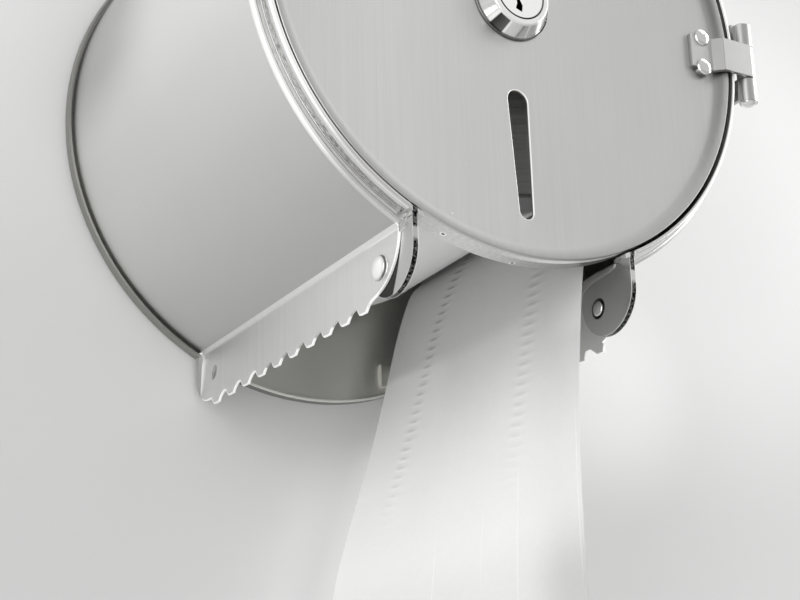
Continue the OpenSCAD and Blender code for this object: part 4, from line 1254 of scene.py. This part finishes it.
def makeLock():
    face, top = layout["faceOut"], layout["faceOut"] + lock["height"]
    lipRadius = lock["plug"] - 0.06 + lock["lip"]
    profile = [(lock["plug"], lock["barrelBack"]), (lock["barrel"] - 0.3, lock["barrelBack"]),
               (lock["barrel"], lock["barrelBack"] + 0.3), (lock["barrel"], face), (lock["radius"], face)]
    profile += arcPoints(lock["radius"] - 0.22, face + lock["flange"] - 0.22, 0.22, 0, 90, 5)
    profile += [(lock["radius"] - 0.62, face + lock["flange"]),
                (lock["radius"] - 0.72, face + lock["flange"] + 0.06)]
    profile += [(lipRadius + 0.12, top - 0.72)]
    profile += arcPoints(lipRadius - 0.5, top - 0.5, 0.5, 12, 90, 8)
    profile += [(lock["plug"] + 0.3, top), (lock["plug"], top - 0.25)]
    piece = lathe("lockCollar", profile, 160)
    for vertex in piece.data.vertices:
        if vertex.co.y > -(face - 0.05) / 1000:
            limit = lock["flat"] / 1000
            vertex.co.x = max(-limit, min(limit, vertex.co.x))
    tidyMesh(piece, 28)
    return dress(evenNormals(piece), materials["chrome"], "lock_chrome", "lock_body")


makeLock()


# An empty geometry tree and its input values by name.
def geometryTree(name, main, numbers, *finishes):
    tree = bpy.data.node_groups.new(name, "GeometryNodeTree")
    wanted = [(main, "Geometry")] + [(label, "Float") for label in numbers]
    for label, kind in wanted + [(label, "Material") for label in finishes]:
        tree.interface.new_socket(label, in_out="INPUT", socket_type="NodeSocket" + kind)
    tree.interface.new_socket(main, in_out="OUTPUT", socket_type="NodeSocketGeometry")
    return tree, {socket.name: nodeValue(socket) for socket in addNode(tree, "NodeGroupInput").outputs}


# A domed rivet on each input point, its head along the point's "facing" attribute.
def rivetTree():
    sizes = [part + size for part in ("Head ", "Tail ") for size in ("Radius", "Height")]
    sizes += ["Shank Radius", "Shank Length"]
    tree, given = geometryTree("domedRivets", "Points", sizes, "Finish")

    def cap(part):
        radius, height = given[part + " Radius"], given[part + " Height"]
        ball = read(tree, "GeometryNodeMeshUVSphere", {"Segments": 48, "Rings": 24, "Radius": radius})
        x, y, z = partsOf(read(tree, "GeometryNodeInputPosition"))
        moved = vectorOf(x, y, larger(z, 0.0) * (height / radius))
        return follow("GeometryNodeSetPosition", {"Geometry": ball, "Position": moved})

    def along(part, share, turn):
        wants = {"Geometry": part, "Translation": vectorOf(0.0, 0.0, given["Shank Length"] * share),
                 "Rotation": (turn, 0, 0)}
        return follow("GeometryNodeTransform", wants)

    wants = {"Vertices": 40, "Radius": given["Shank Radius"], "Depth": given["Shank Length"]}
    shank = along(follow("GeometryNodeMeshCylinder", wants), -0.5, 0.0)
    whole = addNode(tree, "GeometryNodeJoinGeometry")
    for part in (along(cap("Tail"), -1.0, math.pi), shank, cap("Head")):
        plug(whole, 0, part)
    facing = read(tree, "GeometryNodeInputNamedAttribute", {"Name": "facing"}, data_type="FLOAT_VECTOR")
    turn = follow("FunctionNodeAlignRotationToVector", {"Vector": facing}, axis="Z")
    wants = {"Points": given["Points"], "Instance": whole.outputs[0], "Rotation": turn}
    copies = follow("GeometryNodeInstanceOnPoints", wants)
    real = follow("GeometryNodeRealizeInstances", {"Geometry": copies})
    done = follow("GeometryNodeSetMaterial", {"Geometry": real, "Material": given["Finish"]})
    addNode(tree, "NodeGroupOutput", {0: done})
    return tree


domedRivets = rivetTree()


def runTree(piece, tree, values):
    modifier = piece.modifiers.new(tree.name, "NODES")
    modifier.node_group = tree
    for item in tree.interface.items_tree:
        if item.item_type == "SOCKET" and item.in_out == "INPUT" and item.name in values:
            modifier[item.identifier] = values[item.name]
    return bakeModifiers(piece, None)


def makeRivets(name, places, sizes, material, slotName, node):
    mesh = bpy.data.meshes.new(name)
    mesh.from_pydata([spot(*place) for place, _ in places], [], [])
    facing = mesh.attributes.new("facing", "FLOAT_VECTOR", "POINT")
    for i, (_, (x, out, up)) in enumerate(places):
        facing.data[i].vector = (x, -out, up)
    piece = bpy.data.objects.new(name, mesh)
    scene.collection.objects.link(piece)
    values = {label: size / 1000 for label, size in sizes.items()}
    values["Finish"] = material
    runTree(piece, domedRivets, values)
    tidyMesh(piece, 40, 0.0005)
    return dress(piece, None, slotName, node)


rivets = {
    "ear": {"Head Radius": 3.4, "Head Height": 1.6, "Shank Radius": 2.05, "Shank Length": 2.6,
            "Tail Radius": 2.05, "Tail Height": 0.6},
    "leaf": {"Head Radius": 2.6, "Head Height": 1.1, "Shank Radius": 1.5, "Shank Length": 1.18,
             "Tail Radius": 1.45, "Tail Height": 0.05},
    "strap": {"Head Radius": 2.6, "Head Height": 1.1, "Shank Radius": 1.5, "Shank Length": 2.1,
              "Tail Radius": 2.4, "Tail Height": 0.9},
    "earOut": 105.6, "earUp": -77.04, "leafOut": 94.6, "leafHalf": 6.5, "strapX": 64.2, "strapHalf": 4.6,
    "leafThickness": 1.2,
}


def makeAllRivets():
    half = layout["mouthHalf"]
    places = [((s * half, rivets["earOut"], rivets["earUp"]), (s, 0, 0)) for s in (-1, 1)]
    makeRivets("earRivets", places, rivets["ear"], materials["rivet"], "fastener_steel", "ear_rivets")
    reach = layout["drumRadius"] + rivets["leafThickness"]
    places = []
    for s in (-1, 1):
        turn = s * math.asin(rivets["leafHalf"] / layout["drumRadius"])
        side = (math.cos(turn), 0, math.sin(turn))
        places.append(((reach * side[0], rivets["leafOut"], reach * side[2]), side))
    makeRivets("leafRivets", places, rivets["leaf"], materials["polished"], "fastener_steel",
               "hinge_leaf_rivets")
    out = layout["faceOut"] + rivets["leafThickness"]
    places = [((rivets["strapX"], out, s * rivets["strapHalf"]), (0, 1, 0)) for s in (-1, 1)]
    makeRivets("strapRivets", places, rivets["strap"], materials["polished"], "fastener_steel",
               "door_leaf_rivets")


makeAllRivets()
print("lock and rivets made")

roll = {"outer": 51.3, "core": 22.2, "inner": 21.0, "back": 11.0, "front": 109.0, "turns": 62,
        "uneven": 0.22}


def makeRoll():
    chance = random.Random(4)
    step = (roll["outer"] - 0.5 - roll["core"]) / roll["turns"]
    profile = [(roll["core"], roll["front"])]
    for i in range(roll["turns"]):
        dip = chance.random() * roll["uneven"]
        profile += [(roll["core"] + step * (i + 0.15), roll["front"] - dip),
                    (roll["core"] + step * (i + 0.85), roll["front"] - dip)]
    profile += arcPoints(roll["outer"] - 0.4, roll["front"] - 0.4, 0.4, 80, 0, 4)
    profile += arcPoints(roll["outer"] - 0.4, roll["back"] + 0.4, 0.4, 0, -80, 4)
    for i in reversed(range(roll["turns"])):
        dip = chance.random() * roll["uneven"]
        profile += [(roll["core"] + step * (i + 0.85), roll["back"] + dip),
                    (roll["core"] + step * (i + 0.15), roll["back"] + dip)]
    profile += [(roll["core"], roll["back"])]
    piece = tidyMesh(lathe("paperRoll", profile, 180), 50)
    dress(piece, materials["rollPaper"], "roll_paper", "toilet_roll")
    tube = [(roll["core"] - 0.02, roll["back"]), (roll["core"] - 0.02, roll["front"]),
            (roll["inner"], roll["front"]), (roll["inner"], roll["back"])]
    core = tidyMesh(lathe("coreTube", tube, 160))
    bevelEdges(core, 0.12, 2, 45)
    dress(core, materials["board"], "core_board", "roll_core")


makeRoll()

tail = {
    "frontEdge": [(49.3, -16), (47.3, -21.6), (44.1, -28.7), (40.3, -35.6), (36, -42.9), (31.3, -51.1),
                  (27.5, -59), (24.8, -68), (22.6, -85), (20.8, -105), (20, -127), (20, -155),
                  (20.6, -185)],
    "rearEdge": [(49.3, -16), (47.1, -21.9), (44, -27.6), (40.4, -32.8), (36.4, -37.8), (31.7, -43.6),
                 (26.6, -58), (21.6, -77), (15.6, -98), (9.6, -116), (4.2, -134), (0, -155), (-3, -183)],
    "frontOut": 109.5, "rearOut": 11.5, "width": 0.098, "length": 0.175, "thickness": 0.28,
    "columns": 96, "rows": 400, "pressFrom": 92.0, "pressTo": 126.0,
}
emboss = {"Pitch": 2.85, "Depth": 0.34, "Length": 2.7, "Width": 0.48, "Slant": 1.45,
          "First Row": 17.5, "First Drift": 0.08, "Second Row": 66.9, "Second Drift": 0.12}


# Points along a smooth curve through the given ones, evenly by length.
def smoothLine(points, count):
    flat = [Vector(p) for p in points]
    ends = [2 * flat[0] - flat[1]] + flat + [2 * flat[-1] - flat[-2]]
    fine = []
    for i in range(1, len(ends) - 2):
        a, b, c, d = ends[i - 1:i + 3]
        for k in range(24):
            t = k / 24
            fine.append(0.5 * (2 * b + (c - a) * t + (2 * a - 5 * b + 4 * c - d) * t * t
                               + (3 * b - a - 3 * c + d) * t ** 3))
    fine.append(flat[-1])
    reach = [0.0]
    for p, q in zip(fine, fine[1:]):
        reach.append(reach[-1] + (q - p).length)
    made, k = [], 0
    for i in range(count):
        want = reach[-1] * i / (count - 1)
        while k < len(fine) - 2 and reach[k + 1] < want:
            k += 1
        share = (want - reach[k]) / max(reach[k + 1] - reach[k], 1e-9)
        made.append(fine[k].lerp(fine[k + 1], min(1.0, share)))
    return made, reach[-1]


# Presses two slanted rows of short dashes into a sheet that carries "across" and "along" in millimetres.
def embossTree():
    tree, given = geometryTree("embossedRows", "Sheet", emboss)
    across = read(tree, "GeometryNodeInputNamedAttribute", {"Name": "across"})
    along = read(tree, "GeometryNodeInputNamedAttribute", {"Name": "along"})
    cosine, sine = sums("COSINE", given["Slant"]), sums("SINE", given["Slant"])
    b = (sums("FRACT", along / given["Pitch"]) - 0.5) * given["Pitch"]
    total = 0.0
    for label in ("First", "Second"):
        a = across - (given[label + " Row"] + along * given[label + " Drift"])
        p = (a * cosine + b * sine) / given["Width"]
        q = (b * cosine - a * sine) / given["Length"]
        total = total + sums("EXPONENT", (p * p + q * q) * -1.0)
    total *= ramp(along, tail["pressFrom"], tail["pressTo"], 1.0, 0.0)
    offset = scaled(read(tree, "GeometryNodeInputNormal"), total * given["Depth"] * -0.001)
    moved = follow("GeometryNodeSetPosition", {"Geometry": given["Sheet"], "Offset": offset})
    wants = {"Geometry": moved, "Name": "press", "Value": total}
    done = follow("GeometryNodeStoreNamedAttribute", wants, domain="POINT")
    addNode(tree, "NodeGroupOutput", {0: done})
    return tree


def makeTail():
    columns, rows = tail["columns"], tail["rows"]
    front, frontLength = smoothLine(tail["frontEdge"], rows)
    rear, rearLength = smoothLine(tail["rearEdge"], rows)
    print("sheet edges", round(frontLength, 1), round(rearLength, 1))
    shares = [i / (columns - 1) for i in range(columns)]
    points, across, along = [], [], []
    for j in range(rows):
        for t in shares:
            flat = front[j].lerp(rear[j], t)
            out = tail["frontOut"] + (tail["rearOut"] - tail["frontOut"]) * t
            points.append(spot(flat.x, out, flat.y))
            across.append(t * tail["width"] * 1000)
            along.append(j / (rows - 1) * tail["length"] * 1000)
    faces = [(j * columns + i, (j + 1) * columns + i, (j + 1) * columns + i + 1, j * columns + i + 1)
             for j in range(rows - 1) for i in range(columns - 1)]
    piece = meshPiece("hangingSheet", points, faces)
    writeLayer(piece, "across", across)
    writeLayer(piece, "along", along)
    runTree(piece, embossTree(), emboss)
    solid = piece.modifiers.new("thickness", "SOLIDIFY")
    solid.thickness = tail["thickness"] / 1000
    solid.offset = 1.0
    bakeModifiers(piece, 60)
    dress(piece, materials["tailPaper"], "tail_paper", "paper_tail")
    return piece


makeTail()
print("roll and hanging sheet made")


# Room wall, floor and lights.
room = {
    "wall": 0.74, "floor": 0.74, "clearWithin": 0.0009, "wallOut": 0.0004, "floorUp": -0.9,
    # Painted pools of light: centre x and up, the radii where each starts and ends its fading, and its
    # strength.
    "lightPools": [(0.16, 0.02, 0.05, 0.13, 0.17), (-0.2, 0.1, 0.08, 0.2, 0.17),
               (0.11, -0.06, 0.01, 0.05, 0.16), (0.01, -0.13, 0.02, 0.07, 0.02)],
}


# The wall is clear from behind and to very short rays, so the back of the part can be seen from there.
def stageMaterial(name, tone, hollow):
    material, tree, surface = blankMaterial(name)
    x, z = objectSpot(tree)[1], objectSpot(tree)[3]
    # Painted pools of light on the wall.
    for centreX, centreUp, near, reach, extra in room["lightPools"]:
        tone = tone + ramp(distanceFrom(x, z, centreX, centreUp), near, reach, extra, 0.0)
    coat(surface, tone, (1.0, 1.0, 0.997), 0.9)
    plug(surface, "Specular IOR Level", 0.0)
    if hollow:
        behind = read(tree, "ShaderNodeNewGeometry", output="Backfacing")
        length = read(tree, "ShaderNodeLightPath", output="Ray Length")
        near = sums("LESS_THAN", length, room["clearWithin"])
        clear = read(tree, "ShaderNodeBsdfTransparent")
        wants = {0: larger(behind, near), 1: surface.outputs[0], 2: clear}
        output = next(node for node in tree.nodes if node.type == "OUTPUT_MATERIAL")
        plug(output, "Surface", follow("ShaderNodeMixShader", wants))
    return material


def makeRoom():
    out, low = room["wallOut"], room["floorUp"]
    corners = {"Wall": [(-3, out, low), (3, out, low), (3, out, 3), (-3, out, 3)],
               "Floor": [(-4, -4, low), (4, -4, low), (4, 4, low), (-4, 4, low)]}
    stage = [meshPiece("room" + label, points, [(0, 1, 2, 3)]) for label, points in corners.items()]
    stage[0].data.materials.append(stageMaterial("wallPaint", room["wall"], True))
    stage[1].data.materials.append(stageMaterial("floorPaint", room["floor"], False))


# Name, place, width, height and power.
lamps = [
    ("keyLamp", (0.75, -0.52, 1.18), 1.0, 1.0, 3.0),
    ("sideLamp", (-0.98, -0.68, -0.12), 0.7, 1.4, 6.6),
    ("wallLamp", (0.72, -0.27, 0.2), 0.5, 0.5, 3.4),
]


def makeLamps():
    for name, place, width, height, power in lamps:
        light = bpy.data.lights.new(name, "AREA")
        light.shape = "RECTANGLE"
        light.size, light.size_y = width, height
        light.energy = power
        holder = bpy.data.objects.new(name, light)
        scene.collection.objects.link(holder)
        holder.location = place
        holder.rotation_mode = "QUATERNION"
        holder.rotation_quaternion = (Vector((0, -0.06, -0.05)) - Vector(place)).to_track_quat("-Z", "Y")


def makeWorld():
    world = bpy.data.worlds.new("studio")
    scene.world = world
    world.use_nodes = True
    back = world.node_tree.nodes["Background"]
    back.inputs["Color"].default_value = (1, 1, 1, 1)
    back.inputs["Strength"].default_value = 0.6


makeRoom()
makeLamps()
makeWorld()
scene.view_settings.view_transform = "Standard"
